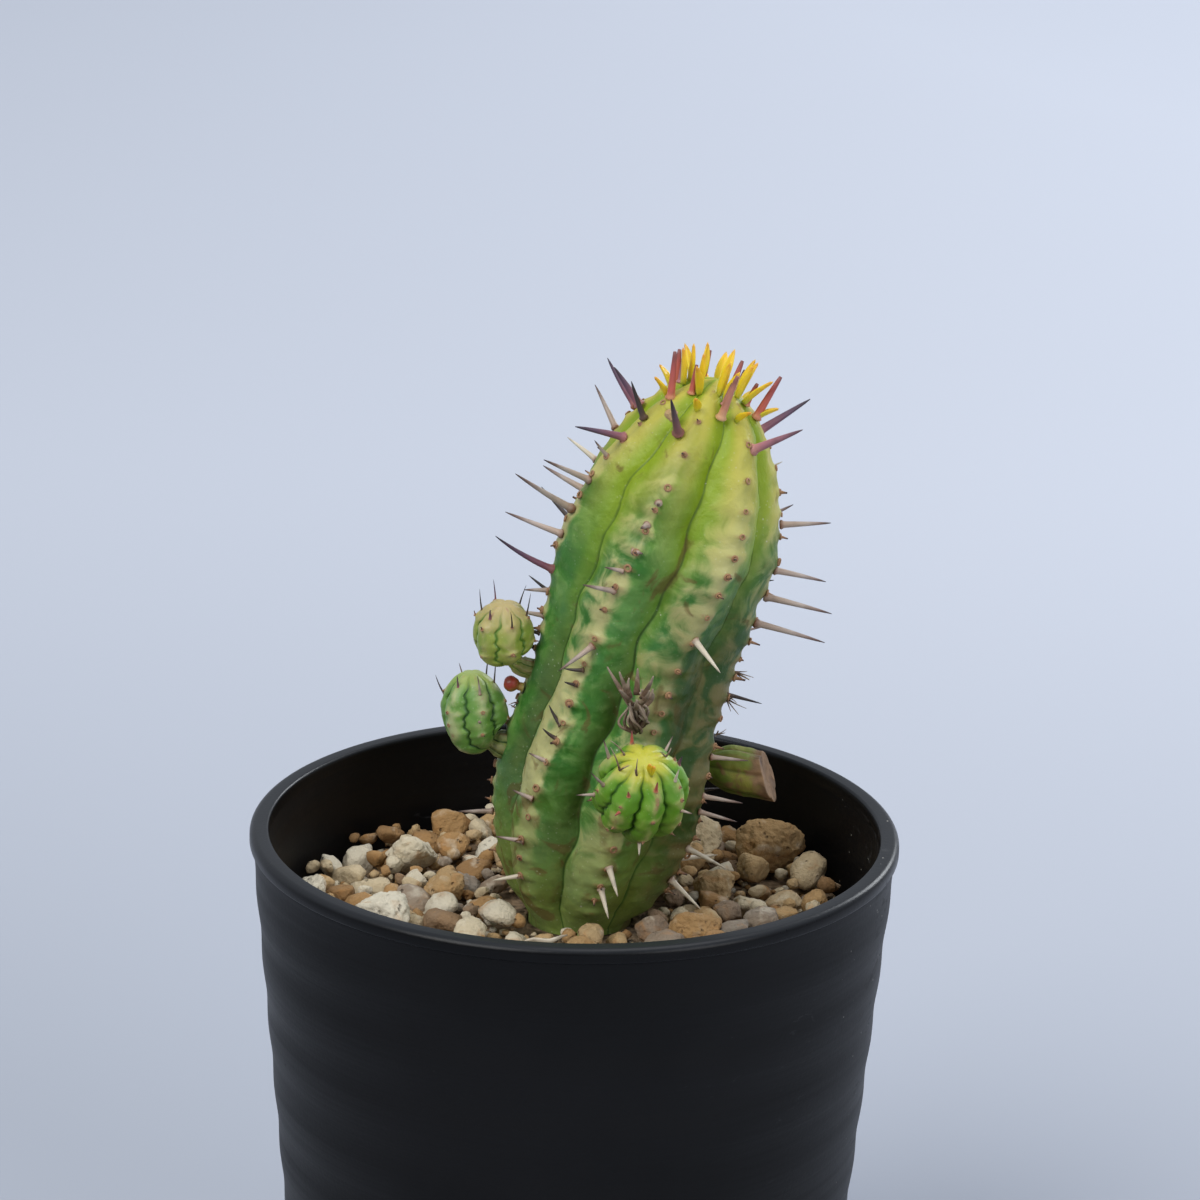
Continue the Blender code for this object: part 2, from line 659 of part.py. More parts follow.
def make_crown_crumb(material, home):
    """A crumb of pumice resting on the left of the crown."""
    point, out, _ = on_stem(crest_angle(0, CRUMB_SHARE) - 25.0, CRUMB_SHARE)
    build = bmesh.new()
    bmesh.ops.create_icosphere(build, subdivisions=2, radius=CRUMB_RADIUS)
    chance = random.Random(31)
    for vert in build.verts:
        vert.co *= chance.uniform(0.85, 1.05)
    place = Matrix.Translation(point + out * (CRUMB_RADIUS * 1.05 + TOUCH))
    bmesh.ops.transform(build, matrix=place, verts=build.verts)
    mesh = bpy.data.meshes.new("crown_crumb")
    build.to_mesh(mesh)
    build.free()
    add_object("crown_crumb", mesh, material, home)


def make_leaves(material, home):
    """Small pointed leaves standing round the growing tip."""
    length, width, share = LEAF_LENGTH, LEAF_WIDTH, LEAF_SHARE
    for number in range(1, LEAF_COUNT + 1):
        angle = LEAF_FIRST + (number - 1) * 360.0 / LEAF_COUNT
        tilt = LEAF_TILTS[number % 2]
        root, out, _ = on_stem(angle, share)
        direction = stem_direction(share)
        outward = turned_about(Vector(), direction, angle, 1.0)
        lean = math.radians(tilt)
        aim = direction * math.cos(lean) + outward * math.sin(lean)
        across = direction.cross(outward).normalized()
        thick = aim.cross(across)
        start = root + out * (TOUCH + LEAF_THICKNESS / 2) + aim * TOUCH
        rings = []
        rows = 6
        for row in range(rows):
            along = row / rows
            centre = start + aim * length * MM * along - thick * length * MM * LEAF_CURL * along**2
            half = width * MM / 2 * max(0.3, math.sin(math.pi * (along * 0.72 + 0.22)))
            depth = LEAF_THICKNESS / 2 * (1.0 - 0.5 * along)
            rings.append([centre + across * half * math.cos(turn) + thick * depth * math.sin(turn)
                          for turn in [math.tau * step / 8 for step in range(8)]])
        tip = start + aim * length * MM - thick * length * MM * LEAF_CURL
        name = f"leaf_{number:02d}"
        add_object(name, loft_mesh(name, rings, start, tip), material, home)


def add_spine(number, crest, out, reach, thickness, material, home):
    """One stiff spine: reach is the vector from its foot to its tip."""
    start = crest + out * (TOUCH + thickness)
    points = [start + reach * (step / 3) for step in range(4)]
    radii = [thickness * taper for taper in (1.0, 0.72, 0.5, 0.22)]
    name = f"spine_{number:02d}"
    add_object(name, tapered_wire(name, points, radii, 1, home), material, home)


def make_spines(material, home):
    """Tapering spines on the rib crests, then the young ones round the crown."""
    for number, (rib, share, side, lift, length, thickness) in enumerate(SPINES, start=1):
        crest, out, sideways = on_stem(crest_angle(rib, share), share)
        upward = out.cross(sideways)
        if upward.z < 0:
            upward = -upward
        turn, rise = math.radians(side), math.radians(lift)
        aim = (out * math.cos(turn) + sideways * math.sin(turn)) * math.cos(rise)
        aim = aim + upward * math.sin(rise)
        add_spine(number, crest, out, aim * length * MM, thickness * MM, material, home)
    for step in range(CROWN_SPINE_COUNT):
        share, tilt, length, thickness = CROWN_KINDS[step % len(CROWN_KINDS)]
        angle = CROWN_SPINE_FIRST + step * CROWN_SPINE_STEP
        crest, out, _ = on_stem(angle, share)
        direction = stem_direction(share)
        outward = turned_about(Vector(), direction, angle, 1.0)
        lean = math.radians(tilt)
        aim = direction * math.cos(lean) + outward * math.sin(lean)
        number = len(SPINES) + 1 + step
        add_spine(number, crest, out, aim * length * MM, thickness * MM, material, home)


# ---------------------------------------------------------------- the whole plant

def main():
    for old in list(bpy.data.objects):
        bpy.data.objects.remove(old)
    home = bpy.data.collections.new("potted_euphorbia")
    guides = bpy.data.collections.new("guides")
    bpy.context.scene.collection.children.link(home)
    bpy.context.scene.collection.children.link(guides)
    materials = make_materials()

    make_pot(materials["pot"], home, guides)
    make_soil(materials, home, guides)
    make_gravel_bed(materials["gravel"], home, guides)
    make_stones(materials["stone"], home)
    make_stem(materials["stem"], home)
    for name, placing in OFFSETS.items():
        make_offset(name, placing, materials["pup"], home)
    make_cut_branch(materials["callus"], home)
    make_bud(materials["bud"], home)
    make_dried_flower(materials["dried"], home)
    make_crown_crumb(materials["stone"], home)
    make_leaves(materials["leaf"], home)
    make_spines(materials["spine"], home)


main()
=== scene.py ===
# %% [markdown]
# # A small spiny euphorbia in a black pot
#
# This lesson dresses a finished CAD model. The model fixes where every piece is and how big it
# is; the cells below grow the skin, spines, leaves and gravel over it. The plant is one rule
# repeated with small changes: seven ribs climb a leaning middle line, and each rib carries a
# row of joints where leaves once stood. So most of the work is done by a few functions.

# %% Load the CAD frame
import json
import math
import random

import bmesh
import bpy
import numpy as np
from mathutils import Matrix, Vector, noise

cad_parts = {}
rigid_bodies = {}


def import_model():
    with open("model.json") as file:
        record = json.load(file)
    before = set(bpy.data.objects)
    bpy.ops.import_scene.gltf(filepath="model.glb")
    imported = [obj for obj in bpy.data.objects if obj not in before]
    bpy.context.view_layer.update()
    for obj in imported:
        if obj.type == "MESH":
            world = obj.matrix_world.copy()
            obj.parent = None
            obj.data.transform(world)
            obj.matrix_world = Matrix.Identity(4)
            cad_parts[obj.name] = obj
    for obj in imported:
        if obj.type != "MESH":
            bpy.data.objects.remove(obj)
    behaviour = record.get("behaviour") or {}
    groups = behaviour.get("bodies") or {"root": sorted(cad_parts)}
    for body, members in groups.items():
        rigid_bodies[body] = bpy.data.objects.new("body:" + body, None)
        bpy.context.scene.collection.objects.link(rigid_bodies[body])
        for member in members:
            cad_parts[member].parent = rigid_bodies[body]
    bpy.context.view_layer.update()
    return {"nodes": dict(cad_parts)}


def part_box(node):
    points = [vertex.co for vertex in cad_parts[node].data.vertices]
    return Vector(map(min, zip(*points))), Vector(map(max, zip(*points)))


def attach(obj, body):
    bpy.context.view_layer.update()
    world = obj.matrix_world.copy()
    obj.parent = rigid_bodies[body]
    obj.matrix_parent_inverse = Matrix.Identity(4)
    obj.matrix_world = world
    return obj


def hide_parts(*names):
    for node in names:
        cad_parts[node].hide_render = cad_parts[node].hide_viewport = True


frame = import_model()
scene = bpy.context.scene
MM = 0.001

# %% [markdown]
# ## The camera
#
# A long lens looks down on the plant from the front, so that the pot's rim shows as a flat
# ellipse. The camera is turned by a degree and a half. The matrix is built from three unit
# vectors, which is easier to read than three Euler angles.

# %% Place the camera
LENS = 111.0
CAMERA_PLACE = Vector((2.23, -400.73, 233.48)) * MM
LOOK_DOWN = math.radians(17.42)
CAMERA_TURN = math.radians(1.49)

camera_data = bpy.data.cameras.new("view")
camera_data.lens = LENS
camera_data.sensor_width = 36.0
camera_data.clip_start = 0.01
camera = bpy.data.objects.new("view", camera_data)
scene.collection.objects.link(camera)
ahead = Vector((0.0, math.cos(LOOK_DOWN), -math.sin(LOOK_DOWN)))
level_right = Vector((1.0, 0.0, 0.0))
level_up = level_right.cross(ahead)
camera_right = level_right * math.cos(CAMERA_TURN) + level_up * math.sin(CAMERA_TURN)
camera_up = level_up * math.cos(CAMERA_TURN) - level_right * math.sin(CAMERA_TURN)
pose = Matrix((camera_right, camera_up, -ahead)).transposed().to_4x4()
pose.translation = CAMERA_PLACE
camera.matrix_world = pose
scene.camera = camera
scene.view_settings.view_transform = "Standard"
print("camera at", [round(v, 3) for v in camera.location])

# %% [markdown]
# ## Shader maths written as Python
#
# A finish is easier to read as an expression than as a chain of nodes. `Wire` wraps one output
# socket, and its operators add Math nodes. `Finish` owns a material and has one method that
# adds any other node, with its settings set before its sockets are filled.

# %% Two small classes for materials
class Wire:
    """One output socket of a material; arithmetic on it adds Math nodes."""

    def __init__(self, finish, socket):
        self.finish = finish
        self.socket = socket

    def math(self, operation, first, second=0.0):
        return self.finish.add("ShaderNodeMath", {"operation": operation}, {0: first, 1: second})

    def __add__(self, other):
        return self.math("ADD", self, other)

    def __sub__(self, other):
        return self.math("SUBTRACT", self, other)

    def __rsub__(self, other):
        return self.math("SUBTRACT", other, self)

    def __mul__(self, other):
        return self.math("MULTIPLY", self, other)

    def __pow__(self, other):
        return self.math("POWER", self, other)

    __radd__ = __add__
    __rmul__ = __mul__

    def clear(self):
        """Keep the value between 0 and 1."""
        return self.finish.add("ShaderNodeClamp", {}, {"Value": self})

    def rise(self, low, high):
        """0 below low, 1 above high and a smooth rise between; low may be above high."""
        made = self.finish.add(
            "ShaderNodeMapRange", {"interpolation_type": "SMOOTHSTEP"},
            {"Value": self, "From Min": low, "From Max": high})
        return made


class Finish:
    """A Principled material with helpers for the nodes that finishes are made of."""

    def __init__(self, name, roughness, **constants):
        self.material = bpy.data.materials.new(name)
        self.material.use_nodes = True
        self.tree = self.material.node_tree
        self.shader = self.tree.nodes["Principled BSDF"]
        self.shader.inputs["Roughness"].default_value = roughness
        for socket, value in constants.items():
            self.shader.inputs[socket.replace("_", " ")].default_value = value
        self.place = self.add("ShaderNodeTexCoord", {}, {}, "Object")

    def fill(self, socket, value):
        if isinstance(value, Wire):
            self.tree.links.new(value.socket, socket)
        elif isinstance(value, tuple) and len(value) == 3 and socket.type == "RGBA":
            socket.default_value = (*value, 1.0)
        else:
            socket.default_value = value

    def add(self, kind, settings, inputs, output=0):
        """Add one node: its settings first, then the values or links of its sockets."""
        node = self.tree.nodes.new(kind)
        for key, value in settings.items():
            if key == "stops":
                ramp = node.color_ramp
                while len(ramp.elements) < len(value):
                    ramp.elements.new(0.5)
                for element, (at, colour) in zip(ramp.elements, value):
                    element.position = at
                    element.color = (*colour, 1.0)
            else:
                setattr(node, key, value)
        for key, value in inputs.items():
            self.fill(node.inputs[key], value)
        return Wire(self, node.outputs[output])

    def attribute(self, name):
        return self.add("ShaderNodeAttribute", {"attribute_name": name}, {}, "Fac")

    def stretched(self, scale):
        """The piece's own coordinates, stretched by a factor along each axis."""
        return self.add("ShaderNodeMapping", {}, {"Vector": self.place, "Scale": scale})

    def noise(self, scale, detail=3.0, where=None, distortion=0.0):
        return self.add("ShaderNodeTexNoise", {},
                        {"Vector": where or self.place, "Scale": scale, "Detail": detail,
                         "Distortion": distortion}, "Fac")

    def cells(self, scale):
        return self.add("ShaderNodeTexVoronoi", {"feature": "F1"},
                        {"Vector": self.place, "Scale": scale}, "Distance")

    def mix(self, factor, first, second):
        """Mix two colours."""
        return self.add("ShaderNodeMix", {"data_type": "RGBA"}, {0: factor, 6: first, 7: second}, 2)

    def ramp(self, value, stops):
        return self.add("ShaderNodeValToRGB", {"stops": stops}, {0: value}, "Color")

    def colour(self, value):
        self.fill(self.shader.inputs["Base Color"], value)

    def roughness(self, value):
        self.fill(self.shader.inputs["Roughness"], value)

    def bump(self, *layers):
        """Each layer is (height between 0 and 1, depth in metres)."""
        normal = None
        for height, depth in layers:
            inputs = {"Height": height, "Strength": 1.0, "Distance": depth}
            if normal is not None:
                inputs["Normal"] = normal
            normal = self.add("ShaderNodeBump", {}, inputs)
        self.fill(self.shader.inputs["Normal"], normal)


# %% [markdown]
# ## Growing closed skins
#
# Every grown piece is a row of rings: a stem, an offset, a spine, a leaf. `Skin` collects such
# rows, closes each end with a fan and makes one mesh of them. Values that a finish needs, such
# as how far a point is from a rib's crest, ride along as point attributes, because they
# follow the surface wherever it bends.

# %% A class that turns rings into a mesh
class Skin:
    """Collects closed grids of points and makes one mesh object of them."""

    def __init__(self):
        self.points = []
        self.faces = []
        self.values = {}
        self.count = 0

    def add(self, rings, start, end, **values):
        """rings is an array (rows, around, 3); start and end are the points of the caps."""
        rows, around, _ = rings.shape
        grid = self.count + np.arange(rows * around).reshape(rows, around)
        following = np.roll(grid, -1, axis=1)
        quads = np.stack([grid[:-1], following[:-1], following[1:], grid[1:]], axis=-1)
        self.faces += quads.reshape(-1, 4).tolist()
        first_cap = self.count + rows * around
        last_cap = first_cap + 1
        self.faces += [(first_cap, b, a) for a, b in zip(grid[0], following[0])]
        self.faces += [(last_cap, a, b) for a, b in zip(grid[-1], following[-1])]
        self.points.append(rings.reshape(-1, 3))
        self.points.append(np.array([list(start), list(end)], float))
        for name, value in values.items():
            full = np.broadcast_to(np.asarray(value, float), (rows, around))
            ends = [full[0].mean(), full[-1].mean()]
            self.values.setdefault(name, []).append(np.concatenate([full.ravel(), ends]))
        self.count = last_cap + 1

    def mesh(self, name):
        points = np.concatenate(self.points)
        made = bpy.data.meshes.new(name)
        made.from_pydata(points.tolist(), [], self.faces)
        for key, parts in self.values.items():
            layer = made.attributes.new(key, "FLOAT", "POINT")
            layer.data.foreach_set("value", np.concatenate(parts).astype(np.float32))
        made.shade_smooth()
        made.update()
        return made

    def piece(self, name, finish, replaces=(), slot=None):
        return finished(self.mesh(name), name, finish, replaces)


def finished(mesh, name, finish, replaces=()):
    """Make a mesh a piece of the model: give it its finish and its body, and hide the CAD parts it
    replaces.
    """
    mesh.name = name
    mesh.materials.clear()
    mesh.materials.append(finish.material)
    made = bpy.data.objects.new(name, mesh)
    scene.collection.objects.link(made)
    if replaces:
        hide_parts(*replaces)
    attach(made, "root")
    return made


def across_axes(direction, near=(0.0, 1.0, 0.0)):
    """Two unit vectors across a direction; the first turns towards +X."""
    forward = np.asarray(direction, float)
    forward = forward / np.linalg.norm(forward)
    right = np.cross(near, forward)
    if np.linalg.norm(right) < 0.05:
        right = np.cross((0.0, 0.0, 1.0), forward)
    right = right / np.linalg.norm(right)
    return right, np.cross(forward, right), forward


def ring(centre, direction, reach, angles):
    """Points round a centre; reach is one radius or one for each angle in degrees."""
    right, back, _ = across_axes(direction)
    turn = np.radians(angles)
    outward = np.outer(np.sin(turn), right) - np.outer(np.cos(turn), back)
    return np.asarray(centre, float) + outward * np.reshape(reach, (-1, 1))


def cubic(start, start_pull, end_pull, end, share):
    """A point on the cubic curve from start to end."""
    rest = 1.0 - share
    return (start * rest**3 + start_pull * (3 * rest**2 * share)
            + end_pull * (3 * rest * share**2) + end * share**3)


# %% [markdown]
# ## The stem's rule
#
# The stem leans to the right, more as it climbs, and its seven ribs wind a little on the way.
# The lean and the winding both grow with a power of the height. The foot is narrower, there
# is a slight waist, and the crown closes to a point. Sizes are read from the CAD pieces where
# they can be, and the last line prints the CAD stem's own box beside the apex the rule gives.

# %% Sizes of the stem, and its middle line
RIBS = 7
RIB_DEPTH = 0.21
RIB_START = -43.0
RIB_TWIST = 38.0
CROWN_START = 0.70
LEAN_SWEEP = 1.2
TWIST_SWEEP = 1.6
FOOT_SHARE = 0.22
FOOT_NARROWING = 0.30
WAIST = 0.08
CROWN_ROUNDNESS = 0.55
GRAVEL_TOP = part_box("gravel_bed")[1].z + 3.0 * MM
STEM_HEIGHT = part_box("stem")[1].z - GRAVEL_TOP
STEM_RADIUS = 12.4 * MM
STEM_LEAN = 14.0 * MM
STEM_FOOT = np.array((0.8 * MM, 3.0 * MM, 0.0))
STEM_NECK = 6.0 * MM


def stem_axis(share):
    share = max(0.0, share)
    return np.array((STEM_FOOT[0] + STEM_LEAN * share**LEAN_SWEEP, STEM_FOOT[1],
                     GRAVEL_TOP + STEM_HEIGHT * share))


def stem_radius(share):
    if share <= CROWN_START:
        foot = FOOT_NARROWING * max(0.0, 1.0 - max(0.0, share) / FOOT_SHARE) ** 2
        climb = max(0.0, (share - FOOT_SHARE) / (CROWN_START - FOOT_SHARE))
        return STEM_RADIUS * (1.0 - foot - WAIST * math.sin(math.pi * climb) ** 2)
    rise = min(1.0, (share - CROWN_START) / (1.0 - CROWN_START))
    return STEM_RADIUS * (1.0 - rise**1.6) ** CROWN_ROUNDNESS


def stem_direction(share):
    step = stem_axis(min(1.0, share + 0.01)) - stem_axis(max(0.0, share - 0.01))
    return step / np.linalg.norm(step)


def crest_angle(rib, share):
    return RIB_START + RIB_TWIST * max(0.0, share) ** TWIST_SWEEP + rib * 360.0 / RIBS


def on_stem(angle, share):
    """A point over the crests, the way straight out of the skin, sideways and up the rib."""
    direction = stem_direction(share)
    point = ring(stem_axis(share), direction, stem_radius(share), [angle])[0]
    outward = ring((0, 0, 0), direction, 1.0, [angle])[0]
    sideways = ring((0, 0, 0), direction, 1.0, [angle + 90.0])[0]
    top = min(1.0, share + 0.01)
    climb = np.linalg.norm(stem_axis(top) - stem_axis(share - 0.01))
    out = outward - direction * (stem_radius(top) - stem_radius(share - 0.01)) / climb
    out = out / np.linalg.norm(out)
    upward = np.cross(out, sideways)
    return point, out, sideways, upward * (1.0 if upward[2] > 0 else -1.0)


stem_low, stem_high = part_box("stem")
print("stem box", tuple(stem_low), tuple(stem_high), "apex by rule", stem_axis(1.0))

# %% [markdown]
# ## Finishes of the plant
#
# A succulent's skin is waxy and full of water, so it has a soft sheen and light bleeds a
# little way into it. The colour follows the ribs: cream along the crests with a wavy edge,
# leaf green on the flanks, yellow at the growing tip and olive with brown stains near the
# gravel. Painted shade darkens the creases to nearly black green and darkens the right
# flanks; the lower right of the stem has painted shade mixed with brown staining; and a
# painted yellow glow of light through the skin lies beside the creases. Attributes called
# `across`, `climb` and `joint` carry those places, and noise on the piece's own coordinates
# keeps every edge irregular.

# %% The skin of the stem
def stem_finish():
    """Old skin: blotched green, cream along the crests, olive and stained near the gravel."""
    skin = Finish("ribbed_skin", 0.42, Subsurface_Weight=0.06, Subsurface_Scale=0.0010,
                  Subsurface_Radius=(1.0, 0.9, 0.25), Specular_IOR_Level=0.34)
    across, side = skin.attribute("across"), skin.attribute("side")
    climb, joint = skin.attribute("climb"), skin.attribute("joint")
    patch = skin.noise(85.0, 2.0, distortion=0.4)
    mottle = skin.noise(270.0, 4.0, distortion=1.0)
    fleck = skin.noise(820.0, 3.0)
    grain = skin.noise(2400.0, 3.0)

    base = skin.mix(patch.rise(0.36, 0.64), (0.050, 0.200, 0.020), (0.100, 0.270, 0.105))
    base = skin.mix(mottle.rise(0.44, 0.60) * 0.52, base, (0.200, 0.370, 0.100))
    base = skin.mix(fleck.rise(0.50, 0.66) * 0.38, base, (0.260, 0.420, 0.140))
    deep = (patch * 0.5 + mottle * 0.5).rise(0.50, 0.38)
    base = skin.mix(deep * 0.55, base, (0.022, 0.115, 0.018))
    # Partly painted shade: the right flank of each rib, turned away from the key light, is mixed to a
    # darker green; part of it is the skin's own greener tone.
    right = side.rise(0.05, 0.55) * (mottle * 0.7 + 0.35).clear()
    base = skin.mix(right * 0.48, base, (0.058, 0.175, 0.020))

    reach = (0.50 - across * 0.85 - side * 0.52 + (joint - 0.5) * 0.08
             + (patch - 0.5) * 1.1 + (mottle - 0.5) * 0.9)
    cream = reach.rise(0.12, 0.42) * climb.rise(-0.05, 0.30) * climb.rise(1.08, 0.72)
    base = skin.mix(cream * 0.86, base, (0.52, 0.48, 0.215))
    tip = (climb + (patch - 0.5) * 0.26 + across * 0.16).rise(0.68, 1.00)
    young = skin.mix(across.rise(0.25, 0.75), (0.50, 0.44, 0.060), (0.285, 0.365, 0.008))
    base = skin.mix(tip * 0.86, base, young)
    old = (climb + (mottle - 0.5) * 0.22 + (patch - 0.5) * 0.30).rise(0.25, 0.02)
    base = skin.mix(old * 0.60, base, (0.215, 0.225, 0.040))

    # Painted light: a yellow-green glow beside the creases of the middle and upper stem, standing in
    # for light that shines through the skin.
    painted_crease_glow = across.rise(0.62, 0.90) * climb.rise(0.25, 0.60) * (patch * 0.8 + 0.25).clear()
    base = skin.mix(painted_crease_glow * 0.55, base, (0.200, 0.320, 0.012))
    # Painted shade: the creases are mixed to nearly black green, where shade falls between the ribs,
    # and to a dark yellow green near the tip.
    crease = (across + (fleck - 0.5) * 0.05).rise(0.945, 0.995)
    base = skin.mix(crease * 0.80, base, skin.mix(tip, (0.024, 0.090, 0.010),
                                                  (0.105, 0.180, 0.008)))
    stain = (skin.noise(190.0, 5.0, distortion=1.4) - climb * 0.12 + side * 0.03).rise(0.53, 0.63)
    base = skin.mix(stain * 0.62, base, (0.135, 0.068, 0.022))
    # Painted shade: the right flanks of the middle and lower stem are mixed to dark olive.
    shade = (side + (patch - 0.5) * 2.0).rise(0.15, 0.8) * climb.rise(0.62, 0.40)
    base = skin.mix(shade * climb.rise(0.08, 0.25) * 0.60, base, (0.050, 0.062, 0.010))
    # Painted shade with brown staining: the lower right of the stem, found by its own x and height,
    # is mixed to dark green and brown. It is partly real brown staining and partly painted shade on
    # the side turned from the key light.
    rightward = skin.add("ShaderNodeSeparateXYZ", {}, {0: skin.place}, 0)
    upward = skin.add("ShaderNodeSeparateXYZ", {}, {0: skin.place}, 2)
    right_shade_and_stain = (rightward + (mottle - 0.5) * 0.006).rise(0.006, 0.012)
    right_shade_and_stain = right_shade_and_stain * (upward + (patch - 0.5) * 0.02).rise(0.116, 0.096)
    brown_tone = skin.mix(mottle.rise(0.42, 0.62), (0.024, 0.050, 0.008), (0.095, 0.070, 0.018))
    base = skin.mix(right_shade_and_stain * 0.80, base, brown_tone)
    halo = joint.rise(0.80, 1.0) * across.rise(0.24, 0.04) * fleck.rise(0.35, 0.60)
    base = skin.mix(halo * 0.65, base, (0.265, 0.135, 0.060))
    dots = skin.cells(1500.0).rise(0.20, 0.10) * patch.rise(0.35, 0.60)
    base = skin.mix(dots * 0.22, base, (0.62, 0.66, 0.48))
    chalk = skin.cells(560.0).rise(0.085, 0.045) * fleck.rise(0.54, 0.62)
    base = skin.mix(chalk * 0.55, base, (0.74, 0.74, 0.66))
    skin.colour(base)
    skin.roughness((grain * 0.16 + fleck * 0.16 + 0.32 + stain * 0.25).clear())
    skin.bump((mottle, 0.00018), (fleck, 0.00009), (grain, 0.00004))
    return skin


# %% The skin of the offsets
def young_finish(name, leaf_green, pale, pale_reach, tip_colour, tip_start, crease_shade_colour):
    """Young skin: bright green lobes with pale shoulders, and thin creases darkened by painted shade.
    """
    skin = Finish(name, 0.40, Subsurface_Weight=0.18, Subsurface_Scale=0.0012,
                  Subsurface_Radius=(1.0, 0.9, 0.2), Specular_IOR_Level=0.40)
    across = skin.attribute("across")
    climb, joint = skin.attribute("climb"), skin.attribute("joint")
    mottle = skin.noise(330.0, 4.0, distortion=0.8)
    fleck = skin.noise(1000.0, 3.0)
    grain = skin.noise(2600.0, 3.0)
    base = skin.mix(mottle.rise(0.35, 0.70) * 0.55, leaf_green,
                    (leaf_green[0] * 1.7, leaf_green[1] * 1.3, leaf_green[2] * 1.6))
    reach = joint * 0.25 - across * 0.75 + (mottle - 0.5) * 1.6 + climb * 0.15 + pale_reach
    base = skin.mix(reach.rise(-0.05, 0.50) * 0.80, base, pale)
    tip = (climb + (mottle - 0.5) * 0.12).rise(tip_start, 1.0)
    base = skin.mix(tip * 0.9, base, tip_colour)
    foot = (climb + (mottle - 0.5) * 0.10).rise(0.20, 0.06)
    base = skin.mix(foot * 0.55, base, (0.34, 0.30, 0.12))
    # Painted shade: the thin creases between the lobes are mixed to the dark crease colour.
    crease = (across + (fleck - 0.5) * 0.10).rise(0.80, 0.97) * climb.rise(1.0, 0.85)
    base = skin.mix(crease * 0.88, base, crease_shade_colour)
    halo = joint.rise(0.82, 1.0) * across.rise(0.26, 0.06) * fleck.rise(0.38, 0.62)
    base = skin.mix(halo * 0.65, base, (0.32, 0.13, 0.085))
    dots = skin.cells(1700.0).rise(0.20, 0.10)
    base = skin.mix(dots * 0.15, base, (0.66, 0.70, 0.46))
    skin.colour(base)
    skin.roughness((grain * 0.20 + fleck * 0.16 + 0.24).clear())
    skin.bump((mottle, 0.00016), (fleck, 0.00006), (grain, 0.00003))
    return skin


stem_skin = stem_finish()
pup_skins = {
    "pup_front": young_finish("bright_skin", (0.120, 0.300, 0.022), (0.44, 0.46, 0.16), 0.10,
                              (0.50, 0.47, 0.050), 0.86, (0.025, 0.100, 0.008)),
    "pup_left_low": young_finish("pale_skin", (0.120, 0.270, 0.050), (0.42, 0.46, 0.23), 0.16,
                                 (0.34, 0.42, 0.120), 0.86, (0.022, 0.085, 0.014)),
    "pup_left_high": young_finish("olive_skin", (0.230, 0.320, 0.050), (0.45, 0.42, 0.16), 0.20,
                                  (0.46, 0.36, 0.170), 0.74, (0.080, 0.200, 0.020)),
}

# %% [markdown]
# Spines dry from the tip down. Fresh ones at the crown are coral or plum, older ones are tan
# with a brown tip and a brown foot. One function takes the colours from foot to tip, and the
# attribute `along` runs up each spine.

# %% Spines, leaves, scars, dried husk and bud
def spine_finish(name, stops, roughness=0.42):
    wood = Finish(name, roughness, Specular_IOR_Level=0.4)
    along = wood.attribute("along")
    streak = wood.noise(900.0, 3.0)
    base = wood.ramp((along + (streak - 0.5) * 0.22).clear(), stops)
    base = wood.mix(wood.noise(420.0, 2.0).rise(0.55, 0.75) * 0.35, base, (0.075, 0.045, 0.035))
    wood.colour(base)
    wood.bump((streak, 0.00006))
    return wood


tan_spine = spine_finish("tan_spine", (
    (0.0, (0.20, 0.085, 0.045)), (0.10, (0.42, 0.31, 0.24)), (0.55, (0.40, 0.33, 0.29)),
    (0.80, (0.19, 0.125, 0.105)), (1.0, (0.035, 0.022, 0.022))))
pale_spine = spine_finish("pale_spine", (
    (0.0, (0.30, 0.19, 0.13)), (0.12, (0.60, 0.52, 0.40)), (0.70, (0.66, 0.60, 0.48)),
    (1.0, (0.42, 0.36, 0.27))))
plum_spine = spine_finish("plum_spine", (
    (0.0, (0.40, 0.16, 0.135)), (0.15, (0.235, 0.085, 0.115)), (0.60, (0.105, 0.055, 0.095)),
    (1.0, (0.018, 0.014, 0.024))))
coral_spine = spine_finish("coral_spine", (
    (0.0, (0.62, 0.30, 0.145)), (0.20, (0.56, 0.135, 0.10)), (0.70, (0.42, 0.095, 0.085)),
    (1.0, (0.20, 0.075, 0.070))))
salmon_spine = spine_finish("salmon_spine", (
    (0.0, (0.66, 0.40, 0.20)), (0.25, (0.56, 0.24, 0.15)), (0.70, (0.50, 0.21, 0.15)),
    (1.0, (0.24, 0.09, 0.08))))
rose_spine = spine_finish("rose_spine", (
    (0.0, (0.50, 0.24, 0.20)), (0.25, (0.40, 0.17, 0.215)), (0.75, (0.26, 0.125, 0.165)),
    (1.0, (0.055, 0.035, 0.040))))
black_spine = spine_finish("black_spine", (
    (0.0, (0.13, 0.075, 0.045)), (0.25, (0.055, 0.038, 0.032)), (1.0, (0.016, 0.014, 0.015))))


def leaf_finish():
    blade = Finish("yellow_leaf", 0.38, Subsurface_Weight=0.35, Subsurface_Scale=0.001,
                   Subsurface_Radius=(1.0, 0.7, 0.1))
    along = blade.attribute("along")
    soft = blade.noise(500.0, 2.0)
    base = blade.ramp((along + (soft - 0.5) * 0.3).clear(), (
        (0.0, (0.42, 0.47, 0.045)), (0.30, (0.72, 0.58, 0.022)), (0.80, (0.80, 0.52, 0.020)),
        (1.0, (0.60, 0.26, 0.030))))
    blade.colour(base)
    blade.bump((blade.noise(1300.0, 2.0), 0.00004))
    return blade


